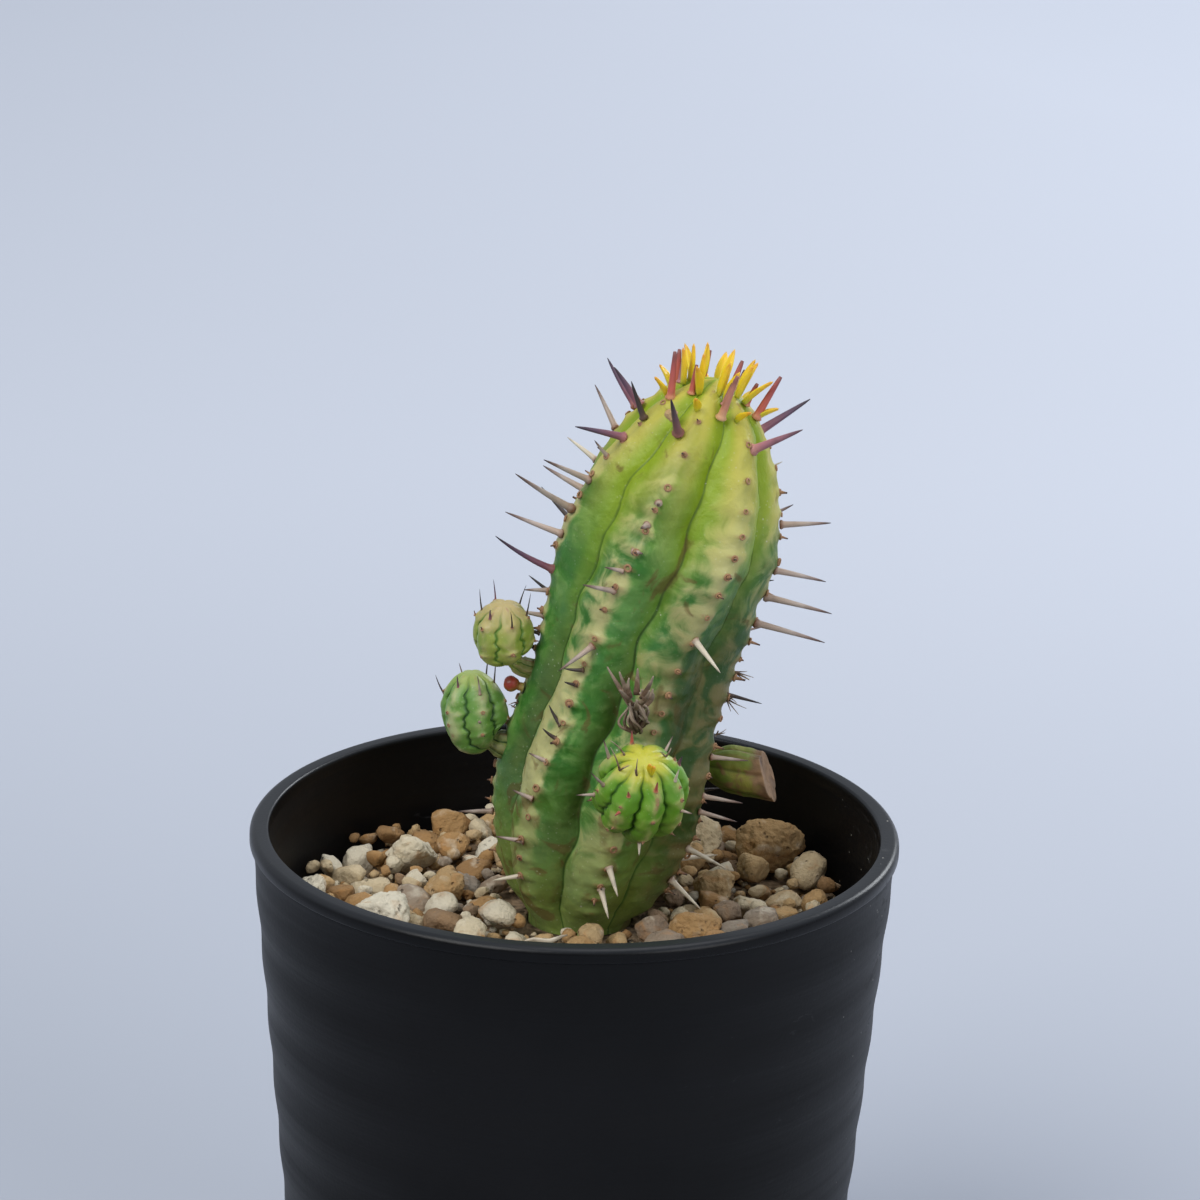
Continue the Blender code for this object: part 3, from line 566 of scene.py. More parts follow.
def scar_finish():
    bark = Finish("leaf_scar", 0.7)
    along = bark.attribute("along")
    rough = bark.noise(1100.0, 3.0)
    base = bark.ramp((along + (rough - 0.5) * 0.5).clear(), (
        (0.0, (0.40, 0.245, 0.12)), (0.45, (0.30, 0.155, 0.080)), (0.80, (0.15, 0.075, 0.050)),
        (1.0, (0.045, 0.028, 0.024))))
    bark.colour(base)
    bark.bump((rough, 0.00010))
    return bark


def husk_finish():
    husk = Finish("dried_husk", 0.85)
    fibre = husk.noise(700.0, 5.0, distortion=1.5)
    base = husk.ramp(fibre, (
        (0.25, (0.045, 0.027, 0.017)), (0.50, (0.15, 0.090, 0.052)), (0.75, (0.34, 0.26, 0.185))))
    ends = husk.attribute("along").rise(0.35, 0.95)
    husk.colour(husk.mix(ends * 0.60, base, (0.40, 0.33, 0.26)))
    husk.bump((fibre, 0.00015))
    return husk


def bud_finish():
    bud = Finish("red_bud", 0.4, Subsurface_Weight=0.1, Subsurface_Scale=0.0006)
    along = bud.attribute("along")
    soft = bud.noise(900.0, 3.0)
    base = bud.ramp((along + (soft - 0.5) * 0.25).clear(), (
        (0.0, (0.30, 0.26, 0.060)), (0.45, (0.36, 0.205, 0.055)), (0.66, (0.36, 0.075, 0.035)),
        (0.85, (0.30, 0.035, 0.022)), (1.0, (0.20, 0.045, 0.028))))
    bud.colour(base)
    bud.bump((soft, 0.00008))
    return bud


def callus_finish():
    """The cut branch: green below, and a corky brown skin where the cut has healed."""
    cork = Finish("healed_cut", 0.7)
    along = cork.attribute("along")
    across = cork.attribute("across")
    rough = cork.noise(520.0, 5.0, distortion=0.8)
    green = cork.mix(cork.noise(300.0, 3.0).rise(0.35, 0.7), (0.135, 0.190, 0.020),
                     (0.250, 0.235, 0.035))
    # Painted shade: the creases between the branch's lobes are darkened.
    green = cork.mix(across.rise(0.8, 1.0) * 0.6, green, (0.070, 0.085, 0.014))
    green = cork.mix(across.rise(0.22, 0.02) * 0.35, green, (0.200, 0.100, 0.040))
    green = cork.mix(rough.rise(0.54, 0.66) * 0.7, green, (0.200, 0.095, 0.045))
    healed = (along + (rough - 0.5) * 0.45).rise(0.72, 0.92)
    brown = cork.ramp(rough, ((0.3, (0.080, 0.040, 0.016)), (0.7, (0.260, 0.150, 0.070))))
    cork.colour(cork.mix(healed, green, brown))
    cork.bump((rough, 0.00025))
    return cork


leaf_blade = leaf_finish()
scar_bark = scar_finish()
husk_paper = husk_finish()
bud_skin = bud_finish()
healed_cut = callus_finish()

# %% [markdown]
# ## Growing a ribbed body
#
# Stem and offsets share one function. It takes a middle line and a radius for each row, and
# draws a section whose ribs are broad and round and whose creases are sharp. Along each crest
# the old leaf joints stand up as small humps. The crest sways a little from joint to joint,
# and slow noise swells and dents the flanks, so that no two ribs are alike.

# %% The ribbed body
def ribbed_body(centres, directions, radii, crests, climbs, ribs, per_rib, depth, sharp, joints,
                hump, wander, swell, seed):
    """Rings of a ribbed body and the values that its finish needs.

    sharp is how much of the section is a straight-sided ridge, not a round one. joints is how
    many joints a rib has over the whole climb; hump, wander and swell are the height of a
    joint, the sideways drift of crests and creases in degrees and the height of the slow dents.
    """
    turn = np.arange(ribs * per_rib) / per_rib
    rib = np.round(turn).astype(int) % ribs
    crease = np.floor(turn).astype(int) % ribs
    side = (turn - np.round(turn)) * 2.0
    across = np.abs(side)
    chance = np.random.default_rng(seed)
    phase = chance.uniform(0, 1, ribs)
    waves = chance.uniform(0, math.tau, (4, ribs))
    crest_zone = np.exp(-(across / 0.26) ** 2)
    wide_zone = np.exp(-(across / 0.60) ** 2)
    ridge = (np.sqrt(across**2 + 0.014) - 0.118) / 0.889
    section = sharp * ridge + (1.0 - sharp) * (0.8 * across**2.1 + 0.2 * across**9)
    shape = 1.0 - depth * (0.85 + 0.22 * np.sin(waves[2]))[crease] * section
    rings, joint_rows, count_rows, fades = [], [], [], []
    for centre, direction, radius, crest, climb in zip(centres, directions, radii, crests, climbs):
        counts = climb * joints + phase + 0.30 * np.sin(climb * 19.0 + waves[0])
        joint = (0.5 + 0.5 * np.cos(math.tau * counts))[rib]
        drift = (np.sin(climb * 15.0 + waves[1]) + 0.6 * np.sin(climb * 37.0 + waves[2]))[rib]
        meander = (np.sin(climb * 24.0 + waves[3]) + 0.7 * np.sin(climb * 57.0 + waves[0]))[crease]
        fade = min(1.0, radius / (0.25 * max(radii)))
        reach = radius * shape + fade * hump * (
            (joint**2 - 0.35) * crest_zone + 0.30 * (joint - 0.4) * wide_zone)
        angle = crest + turn * 360.0 / ribs + wander * fade * (
            drift * (1.0 - across**2) + 1.6 * meander * across**3)
        rings.append(ring(centre, direction, reach, angle))
        joint_rows.append(joint)
        count_rows.append(counts)
        fades.append(fade)
    rings = np.array(rings)
    outward = rings - np.array(centres)[:, None, :]
    outward /= np.maximum(np.linalg.norm(outward, axis=2, keepdims=True), 1e-9)
    dents = np.array([noise.noise(Vector(p) * 190.0 + Vector((seed, 0, 0)))
                      + 0.5 * noise.noise(Vector(p) * 520.0) + 0.22 * noise.noise(Vector(p) * 1300.0)
                      for p in rings.reshape(-1, 3)])
    rings += outward * (dents.reshape(rings.shape[:2]) * np.array(fades)[:, None])[..., None] * swell
    flat = np.ones((len(rings), 1))
    return dict(rings=rings, across=across * flat, side=side * flat, joint=np.array(joint_rows),
                counts=np.array(count_rows))


def joint_rows(counts, rib):
    """Rows of a ribbed body at which one rib has its joints."""
    column = counts[:, rib]
    wanted = range(math.ceil(column[0]), math.floor(column.max()) + 1)
    return [int(np.argmin(np.abs(column - number))) for number in wanted]


# %% [markdown]
# The stem has two stretches: the body, where rows are evenly spaced, and the crown, where
# they crowd together towards the tip. Below the gravel it narrows to a neck that stands on
# the soil, as the CAD stem does.

# %% Grow the stem
STEM_JOINTS = 23
PER_RIB = 28
BODY_ROWS = 230
CROWN_ROWS = 84
stem_shares = [CROWN_START * row / BODY_ROWS for row in range(BODY_ROWS)]
stem_shares += [CROWN_START + (1 - CROWN_START) * math.sin(math.pi / 2 * row / CROWN_ROWS)
                for row in range(CROWN_ROWS)]
stem_body = ribbed_body(
    [stem_axis(s) for s in stem_shares], [stem_direction(s) for s in stem_shares],
    [stem_radius(s) for s in stem_shares], [crest_angle(0, s) for s in stem_shares],
    stem_shares, RIBS, PER_RIB, RIB_DEPTH, 0.62, STEM_JOINTS, 0.26 * MM, 1.3, 0.34 * MM, 7)
neck_heights = np.linspace(stem_low.z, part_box("gravel_bed")[1].z + 0.5 * MM, 10)
neck_angles = crest_angle(0, 0.0) + np.arange(RIBS * PER_RIB) * 360.0 / (RIBS * PER_RIB)
neck_rings = np.array([ring((STEM_FOOT[0], STEM_FOOT[1], z), (0, 0, 1), STEM_NECK, neck_angles)
                       for z in neck_heights])


def with_neck(values):
    """Give the neck's rows the values of the body's first row."""
    return np.concatenate([np.repeat(values[:1], len(neck_heights), axis=0), values])


stem_grown = Skin()
stem_grown.add(
    np.concatenate([neck_rings, stem_body["rings"]]), (STEM_FOOT[0], STEM_FOOT[1], stem_low.z),
    stem_axis(1.0) - (0, 0, 0.1 * MM), climb=with_neck(np.array(stem_shares)[:, None]),
    across=with_neck(stem_body["across"]), side=with_neck(stem_body["side"]),
    joint=with_neck(stem_body["joint"]))
stem = stem_grown.piece("stem_skin", stem_skin, ["stem"], "stem_skin")
print("stem faces:", len(stem.data.polygons))

# %% [markdown]
# ## Offsets
#
# An offset starts as a narrow neck on a crest, swells to a ball and closes over at its own
# tip. Its middle line is a cubic curve that leaves the stem straight out and then bends
# upwards. The same push that keeps the CAD offsets clear of the stem is repeated here.

# %% Grow the three offsets
OFFSETS = {
    "pup_front": dict(rib=1, share=0.268, heading=(-0.27, 0.46, 0.89), length=10.6, radius=5.4,
                      neck=1.5, neck_share=0.06, ribs=8, joints=5, turn=26.0, hump=0.09,
                      wander=1.6, seed=21),
    "pup_left_low": dict(rib=-1, share=0.25, heading=(0.0, 0.28, 0.96), length=9.6, radius=4.0,
                         neck=1.2, neck_share=0.08, ribs=6, joints=4, turn=24.0, hump=0.10,
                         wander=2.6, seed=22),
    "pup_left_high": dict(rib=-1, share=0.405, heading=(0.25, 0.24, 0.96), length=9.4,
                          radius=3.6, neck=0.8, neck_share=0.26, ribs=6, joints=4, turn=24.0,
                          hump=0.22, wander=3.0, seed=23),
}
OFFSET_ROWS = 90


def room_beside_stem(points):
    """How far the nearest of some points stands off the stem's crests."""
    shares = (points[:, 2] - GRAVEL_TOP) / STEM_HEIGHT
    return min(np.linalg.norm(p - stem_axis(s)) - stem_radius(s)
               for p, s in zip(points, shares) if 0.0 <= s < 1.0)


def offset_line(rib, share, heading, length, radius, neck, neck_share, ribs, **_):
    """Middle line of an offset, its radius at each row and how far it is pushed out."""
    point, out, sideways, _ = on_stem(crest_angle(rib, share), share)
    upward = stem_direction(share)
    aim = sideways * heading[0] + out * heading[1] + upward * heading[2]
    aim = aim / np.linalg.norm(aim)
    start = point + out * 0.6 * MM
    bend = start + out * length * 0.28 * MM
    end = bend + aim * length * 0.82 * MM
    knots = (start, bend, bend + (end - bend) * 0.45, end)

    def middle(along):
        return cubic(*knots, along)

    def reach(along):
        body = max(0.0, (along - neck_share) / (1.0 - neck_share))
        swell = (1.0 - abs(1.0 - 2.0 * body) ** 2.4) ** 0.5
        return max(neck, radius * swell) * MM

    cloud = []
    for row in range(2, 12):
        along = row / 12
        direction = middle(along + 0.02) - middle(along)
        crests = 40.0 * along + np.arange(ribs * 4) * 90.0 / ribs
        rib_shape = 1.0 - 0.2 * (np.abs((np.arange(ribs * 4) / 4 + 0.5) % 1 - 0.5) * 2) ** 2.2
        cloud.append(ring(middle(along), direction, reach(along) * rib_shape, crests))
    push = out * max(0.0, 0.3 * MM - room_beside_stem(np.concatenate(cloud)))
    return middle, reach, push, out


def grow_offset(name, plan):
    middle, _, push, out = offset_line(**plan)
    rows = [1.0 - (1.0 - row / OFFSET_ROWS) ** 1.15 for row in range(OFFSET_ROWS)]
    rows = [0.0] + [share for share in rows if share > 0.0 and share < 0.995]
    directions = [middle(min(1.0, a + 0.02)) - middle(a) for a in rows]
    radii = []
    for along in rows:
        body = max(0.0, (along - plan["neck_share"]) / (1.0 - plan["neck_share"]))
        swell = (1.0 - abs(1.0 - 2.0 * body) ** 2.4) ** 0.5
        blend = min(1.0, along / max(plan["neck_share"], 0.05))
        foot = plan["neck"] * (1.35 - 0.35 * blend)
        radii.append(math.hypot(foot * (1.0 - swell), plan["radius"] * swell) * MM)
    centres = [middle(a) + push * min(1.0, a * 6) for a in rows]
    body = ribbed_body(
        centres, directions, radii, [plan["turn"] * a for a in rows], rows, plan["ribs"], 26,
        0.24, 0.1, plan["joints"], plan["hump"] * MM, plan["wander"], 0.12 * MM, plan["seed"])
    root = centres[0] - out * 1.2 * MM
    root_ring = ring(root, directions[0], radii[0] * 1.1,
                     np.arange(plan["ribs"] * 26) * 360.0 / (plan["ribs"] * 26))
    values = {key: np.concatenate([body[key][:1], body[key]])
              for key in ("across", "side", "joint")}
    grown = Skin()
    grown.add(np.concatenate([root_ring[None], body["rings"]]), root,
              centres[-1] + (centres[-1] - centres[-2]), climb=np.array([0.0] + rows)[:, None],
              **values)
    grown.piece(name + "_skin", pup_skins[name], [name], "young_skin")
    return dict(rings=body["rings"], counts=body["counts"], rows=rows, centres=centres,
                directions=directions, **plan)


grown_offsets = {name: grow_offset(name, plan) for name, plan in OFFSETS.items()}
print("offsets:", ", ".join(grown_offsets))

# %% [markdown]
# ## Spines
#
# A spine is a stiff stalk: thick and ringed at its foot, then a long taper to a sharp tip,
# often a little bent. Each is a row of rings. A row of LONG_SPINES gives the rib, the share of
# the height, how far the spine turns sideways and upward, its length and radius, and its bend.
# Each stands in the place of one CAD spine. Smaller spines are gathered by finish.

# %% One spine
SPINE_BODY = 1.12


def grow_spine(skin, foot, aim, length, radius, bend=(0.0, 0.0, 0.0), sides=10, rows=9,
               blunt=0.10):
    """Add one spine to a skin. bend is how far the tip is carried sideways."""
    aim = np.asarray(aim, float) / np.linalg.norm(aim)
    bend = np.asarray(bend, float)
    radius = radius * SPINE_BODY
    shares = [0.0, 0.035, 0.08, 0.13] + [0.13 + 0.87 * (row / rows) for row in range(1, rows + 1)]
    rings, along = [], []
    for share in shares:
        centre = foot + aim * length * share + bend * share**2
        taper = (1.0 - share) ** 0.68 * (1.0 - blunt) + blunt
        collar = 1.0 + 0.42 * math.exp(-((share - 0.035) / 0.035) ** 2)
        direction = aim * length + bend * 2 * share
        rings.append(ring(centre, direction, radius * taper * collar,
                          np.arange(sides) * 360.0 / sides))
        along.append([share] * sides)
    tip = foot + aim * length * 1.01 + bend
    skin.add(np.array(rings), foot, tip, along=np.array(along))


def crest_foot(rib, share):
    """Where a spine stands on the stem, and its three directions."""
    return on_stem(crest_angle(rib, share), share)


def aimed(out, sideways, upward, side, lift):
    turn, rise = math.radians(side), math.radians(lift)
    flat = out * math.cos(turn) + sideways * math.sin(turn)
    return flat * math.cos(rise) + upward * math.sin(rise)


gathered = {}


def gather(finish):
    """The skin in which all small pieces of one finish are collected."""
    return gathered.setdefault(finish.material.name, (Skin(), finish))[0]


# Rib, share, side, lift, length and radius in mm, bend sideways and up in mm, finish
LONG_SPINES = (
    (-1, 0.91, -10, 20, 4.6, 0.36, 0.0, 0.2, black_spine),
    (-1, 0.87, 0, -22, 6.4, 0.42, 0.0, -0.2, plum_spine),
    (-1, 0.78, 10, 0, 7.0, 0.36, 0.0, 0.0, tan_spine),
    (-1, 0.72, 15, 14, 9.6, 0.40, 0.0, 0.3, tan_spine),
    (-1, 0.67, -25, 4, 7.0, 0.36, 0.0, 0.2, tan_spine),
    (-1, 0.60, 10, 18, 8.2, 0.38, 0.0, 1.2, plum_spine),
    (-2, 0.90, -25, -8, 7.8, 0.44, 0.0, 0.5, plum_spine),
    (0, 0.63, -35, 8, 4.4, 0.32, 0.0, 0.1, tan_spine),
    (0, 0.52, -30, -42, 5.0, 0.34, 0.0, 0.2, tan_spine),
    (1, 0.58, 35, -25, 4.8, 0.36, 0.0, 0.0, pale_spine),
    (2, 0.78, 0, 4, 5.8, 0.36, 0.0, 0.0, tan_spine),
    (2, 0.70, 20, 0, 6.4, 0.36, 0.0, -0.2, tan_spine),
    (2, 0.65, -5, 10, 8.0, 0.38, 0.0, -0.2, tan_spine),
    (2, 0.60, 5, 8, 8.4, 0.38, 0.0, -0.2, tan_spine),
    (3, 0.72, 0, 12, 7.6, 0.38, 0.0, 0.3, tan_spine),
    (4, 0.80, 0, 16, 7.0, 0.38, 0.0, 0.3, tan_spine),
)
for number, row in enumerate(LONG_SPINES, start=1):
    rib, share, side, lift, length, radius, bend_side, bend_up, finish = row
    foot, out, sideways, upward = crest_foot(rib, share)
    single = Skin()
    grow_spine(single, foot, aimed(out, sideways, upward, side, lift), length * MM, radius * MM,
               sideways * bend_side * MM + upward * bend_up * MM)
    single.piece(f"long_spine_{number:02d}", finish, [f"spine_{number:02d}"], "spine_wood")
print("long spines:", len(LONG_SPINES))

# %% [markdown]
# The crown's spines are young and thick. They stand evenly round the tip, by turns upright and
# leaning out. The six in the CAD take one side of the ring, and smaller ones, with lengths
# from a seeded rule, fill the rest of it.

# %% Spines of the crown
CROWN_FINISHES = (coral_spine, plum_spine, salmon_spine, rose_spine, coral_spine, plum_spine)
CROWN_FIRST = -60.0
CROWN_STEP = 36.0
CROWN_RING = 10
YOUNG_RING = 6
# Share of the height, tilt outward, length and radius in mm, bluntness
CROWN_KINDS = ((0.955, 12.0, 5.4, 0.44, 0.40), (0.915, 50.0, 7.2, 0.48, 0.10))
# The ring between the leaves is closer to the tip, and its spines are shorter
YOUNG_KIND = (0.975, 8.0, 3.6, 0.34, 0.50)


def crown_spine(skin, angle, kind, size=1.0):
    share, tilt, length, radius, blunt = kind
    foot, out, _, _ = on_stem(angle, share)
    direction = stem_direction(share)
    outward = ring((0, 0, 0), direction, 1.0, [angle])[0]
    lean = math.radians(tilt)
    aim = direction * math.cos(lean) + outward * math.sin(lean)
    grow_spine(skin, foot - out * 0.2 * MM, aim, length * size * MM, radius * MM,
               out * 0.25 * MM, blunt=blunt)


for step, finish in enumerate(CROWN_FINISHES):
    node = len(LONG_SPINES) + 1 + step
    skin = Skin()
    crown_spine(skin, CROWN_FIRST + step * CROWN_STEP, CROWN_KINDS[step % 2])
    skin.piece(f"crown_spine_{node:02d}", finish, [f"spine_{node:02d}"], "spine_wood")
crown_luck = np.random.default_rng(31)
for step in range(len(CROWN_FINISHES), CROWN_RING):
    finish = (coral_spine, plum_spine)[step % 2]
    crown_spine(gather(finish), CROWN_FIRST + step * CROWN_STEP, CROWN_KINDS[step % 2],
                crown_luck.uniform(0.55, 0.85))
for step in range(YOUNG_RING):
    angle = CROWN_FIRST + CROWN_STEP / 2 + step * 360.0 / YOUNG_RING
    crown_spine(gather((coral_spine, rose_spine)[step % 2]), angle,
                YOUNG_KIND, crown_luck.uniform(0.7, 1.0))
print("crown spines:", CROWN_RING + YOUNG_RING)

# %% [markdown]
# The shorter spines fill the rows between the long ones. Ribs that face away get theirs from
# a seeded rule, so that the plant is as full behind as in front.

# %% Shorter spines on the stem
SHORT_SPINES = (
    (0, 0.71, 60, 10, 1.6, 0.30, 0.0, 0.0, tan_spine),
    (0, 0.80, 10, -10, 1.2, 0.34, 0.0, 0.0, tan_spine),
    (0, 0.76, -10, -20, 1.5, 0.32, 0.0, 0.0, tan_spine),
    (0, 0.67, -60, 0, 2.2, 0.26, 0.0, 0.0, tan_spine),
    (0, 0.47, -70, -20, 2.4, 0.24, 0.0, 0.3, black_spine),
    (0, 0.44, -60, -10, 1.8, 0.22, 0.2, 0.3, black_spine),
    (0, 0.36, -75, 30, 2.4, 0.26, 0.0, 0.5, black_spine),
    (0, 0.335, -50, 10, 1.8, 0.24, 0.0, 0.4, black_spine),
    (0, 0.29, -60, 5, 2.2, 0.26, 0.0, 0.1, tan_spine),
    (0, 0.215, -65, 5, 2.6, 0.28, 0.0, 0.1, tan_spine),
    (0, 0.13, -60, 0, 3.4, 0.30, 0.0, 0.0, tan_spine),
    (0, 0.06, -55, -10, 3.8, 0.30, 0.0, -0.2, pale_spine),
    (1, 0.13, 25, -35, 3.6, 0.36, 0.0, 0.0, pale_spine),
    (1, 0.08, 20, -30, 3.6, 0.34, 0.0, 0.0, pale_spine),
    (2, 0.46, 15, 0, 4.3, 0.24, 0.0, 0.0, black_spine),
    (2, 0.34, 15, 5, 4.4, 0.28, 0.0, 0.0, tan_spine),
    (2, 0.265, 10, 5, 4.8, 0.30, 0.0, 0.0, tan_spine),
    (2, 0.235, 15, 0, 4.6, 0.28, 0.0, 0.0, tan_spine),
    (2, 0.16, 10, 0, 5.2, 0.32, 0.0, -0.2, pale_spine),
    (2, 0.09, 5, -10, 5.0, 0.34, 0.0, 0.0, pale_spine),
    (-1, 0.83, 5, 10, 2.8, 0.24, 0.0, 0.2, tan_spine),
    (-1, 0.56, 0, -5, 3.0, 0.28, 0.0, 0.0, tan_spine),
    (-1, 0.51, 10, 5, 4.0, 0.28, 0.0, 0.0, tan_spine),
    (-1, 0.475, -10, 0, 3.2, 0.22, 0.0, 0.2, black_spine),
    (-1, 0.445, 10, 15, 3.0, 0.24, 0.0, 0.3, black_spine),
    (-1, 0.12, 0, 0, 4.2, 0.30, 0.0, 0.0, tan_spine),
    (3, 0.81, -10, 4, 4.0, 0.30, 0.0, 0.4, black_spine),
    (3, 0.77, -12, 4, 3.6, 0.30, 0.0, 0.3, black_spine),
)
for rib, share, side, lift, length, radius, bend_side, bend_up, finish in SHORT_SPINES:
    foot, out, sideways, upward = crest_foot(rib, share)
    grow_spine(gather(finish), foot, aimed(out, sideways, upward, side, lift), length * MM,
               radius * MM, sideways * bend_side * MM + upward * bend_up * MM)

back_chance = random.Random(5)
for rib in (3, 4, 5):
    share = 0.07
    while share < 0.88:
        foot, out, sideways, upward = crest_foot(rib, share)
        length = back_chance.choice((1.6, 3.2, 4.6, 6.0, 7.2))
        tone = back_chance.choice((tan_spine, tan_spine, pale_spine, black_spine))
        aim = aimed(out, sideways, upward, back_chance.uniform(-30, 30), back_chance.uniform(-8, 22))
        grow_spine(gather(tone), foot, aim, length * MM, back_chance.uniform(0.26, 0.38) * MM,
                   upward * back_chance.uniform(-0.2, 0.6) * MM)
        share += back_chance.uniform(0.045, 0.085)
print("short spines by finish:", list(gathered))

# %% [markdown]
# Offsets carry their own fine spines. A point on an offset is found from its rings: the row
# nearest to a share of the climb, and the column of a rib's crest.

# %% Spines of the offsets
def on_offset(name, rib, share):
    """A crest point of an offset, with out and up directions there."""
    grown = grown_offsets[name]
    rows = grown["rows"]
    row = min(range(len(rows)), key=lambda i: abs(rows[i] - share))
    point = grown["rings"][row, (rib % grown["ribs"]) * 26]
    out = point - grown["centres"][row]
    out = out / np.linalg.norm(out)
    up = np.asarray(grown["directions"][row], float)
    up = up / np.linalg.norm(up)
    dome = max(0.0, (share - 0.55) / 0.45)
    out = out * (1 - dome) + up * dome
    return point, out / np.linalg.norm(out), up


# Offset, rib, share, lift, length, radius, bend up, finish
OFFSET_SPINES = (
    ("pup_front", 0, 0.90, 40, 1.9, 0.20, 0.0, coral_spine),
    ("pup_front", 1, 0.88, 45, 2.2, 0.18, 0.0, pale_spine),
    ("pup_front", 2, 0.84, 35, 1.4, 0.22, 0.0, plum_spine),
    ("pup_front", 4, 0.90, 40, 2.0, 0.20, 0.0, coral_spine),
    ("pup_front", 5, 0.86, 20, 2.8, 0.20, 0.2, tan_spine),
    ("pup_front", 6, 0.80, 10, 3.0, 0.20, 0.2, tan_spine),
    ("pup_front", 6, 0.62, 0, 2.2, 0.20, 0.0, tan_spine),
    ("pup_front", 7, 0.72, -10, 1.2, 0.18, 0.0, coral_spine),
    ("pup_front", 7, 0.86, 30, 1.2, 0.18, 0.0, coral_spine),
    ("pup_front", 0, 0.34, -20, 1.5, 0.20, 0.0, pale_spine),
    ("pup_front", 1, 0.62, 10, 1.6, 0.18, 0.0, tan_spine),
    ("pup_front", 3, 0.70, 10, 2.2, 0.18, 0.0, tan_spine),
    ("pup_left_low", 0, 0.86, 40, 2.0, 0.15, 0.9, tan_spine),
    ("pup_left_low", 1, 0.90, 30, 2.2, 0.10, 1.6, black_spine),
    ("pup_left_low", 2, 0.90, 20, 2.0, 0.10, 1.4, black_spine),
    ("pup_left_low", 4, 0.80, 5, 1.7, 0.12, 1.2, black_spine),
    ("pup_left_low", 5, 0.92, 40, 1.2, 0.14, 0.4, plum_spine),
    ("pup_left_low", 3, 0.86, 20, 1.6, 0.13, 0.8, tan_spine),
    ("pup_left_low", 0, 0.58, 0, 0.8, 0.18, 0.0, tan_spine),
    ("pup_left_high", 0, 0.88, 25, 1.8, 0.11, 1.3, black_spine),
    ("pup_left_high", 1, 0.90, 15, 2.0, 0.10, 1.7, black_spine),
    ("pup_left_high", 2, 0.86, 10, 1.8, 0.10, 1.6, black_spine),
    ("pup_left_high", 3, 0.92, 35, 2.0, 0.10, 1.2, plum_spine),
    ("pup_left_high", 4, 0.90, 20, 1.8, 0.10, 1.5, black_spine),
    ("pup_left_high", 5, 0.93, 60, 1.2, 0.15, 0.3, plum_spine),
)
for name, rib, share, lift, length, radius, bend_up, finish in OFFSET_SPINES:
    point, out, up = on_offset(name, rib, share)
    rise = math.radians(lift)
    aim = out * math.cos(rise) + up * math.sin(rise)
    curl = np.cross(up, out) * (0.75 if rib % 2 else -0.75)
    grow_spine(gather(finish), point - out * 0.1 * MM, aim, length * MM, radius * MM,
               (up * 0.6 + curl) * bend_up * MM, sides=8, rows=7)
for label, (skin, finish) in gathered.items():
    skin.piece(f"small_{label}s", finish, (), "spine_wood")
print("offset spines:", len(OFFSET_SPINES))

# %% [markdown]
# ## Leaf joints by Geometry Nodes
#
# Every joint on a crest keeps the scar of a fallen leaf: a brown ring with a dry peg or a
# hollow in it. There are some two hundred of them, all on one rule, so a Geometry Nodes tree
# sets them out. It gets bare points that carry the outward direction, and it stands a ring on
# each and a peg on some of them. Sizes, the share of pegs and the seed are named inputs.

# %% A small class for Geometry Nodes trees
class Tree:
    """A Geometry Nodes group under construction, with named inputs."""

    def __init__(self, name):
        self.group = bpy.data.node_groups.new(name, "GeometryNodeTree")
        self.defaults = {}
        for way in ("INPUT", "OUTPUT"):
            self.group.interface.new_socket("Geometry", in_out=way,
                                            socket_type="NodeSocketGeometry")
        self.entry = self.group.nodes.new("NodeGroupInput")
        self.exit = self.group.nodes.new("NodeGroupOutput")

    def input(self, name, kind, value):
        socket = self.group.interface.new_socket(name, in_out="INPUT", socket_type=kind)
        self.defaults[socket.identifier] = value
        return self.entry.outputs[name]

    def add(self, kind, settings, inputs, output=0):
        node = self.group.nodes.new(kind)
        for key, value in settings.items():
            setattr(node, key, value)
        for key, value in inputs.items():
            if isinstance(value, bpy.types.NodeSocket):
                self.group.links.new(value, node.inputs[key])
            else:
                node.inputs[key].default_value = value
        return node.outputs[output]

    def named(self, name, kind="FLOAT"):
        return self.add("GeometryNodeInputNamedAttribute", {"data_type": kind}, {"Name": name})

    def chance(self, kind, low, high, seed, offset):
        """A random value for each point; offset keeps two draws apart."""
        seeded = self.add("ShaderNodeMath", {"operation": "ADD"}, {0: seed, 1: float(offset)})
        ends = {"FLOAT": (2, 3, 1), "FLOAT_VECTOR": (0, 1, 0), "INT": (4, 5, 2)}[kind]
        return self.add("FunctionNodeRandomValue", {"data_type": kind},
                        {ends[0]: low, ends[1]: high, "Seed": seeded}, ends[2])

    def grow(self, points, name):
        """Run the tree on an object and return the result as a plain mesh."""
        modifier = points.modifiers.new(name, "NODES")
        modifier.node_group = self.group
        for identifier, value in self.defaults.items():
            modifier[identifier] = value
        graph = bpy.context.evaluated_depsgraph_get()
        mesh = bpy.data.meshes.new_from_object(points.evaluated_get(graph))
        points.modifiers.remove(modifier)
        bpy.data.objects.remove(points)
        mesh.shade_smooth()
        return mesh


def point_object(name, places, **values):
    """Bare points with attributes, for a tree to build on."""
    mesh = bpy.data.meshes.new(name)
    mesh.from_pydata([tuple(p) for p in places], [], [])
    for key, value in values.items():
        value = np.asarray(value, np.float32)
        if value.ndim == 2:
            layer = mesh.attributes.new(key, "FLOAT_VECTOR", "POINT")
            layer.data.foreach_set("vector", value.ravel())
        else:
            layer = mesh.attributes.new(key, "FLOAT", "POINT")
            layer.data.foreach_set("value", value)
    made = bpy.data.objects.new(name, mesh)
    scene.collection.objects.link(made)
    return made


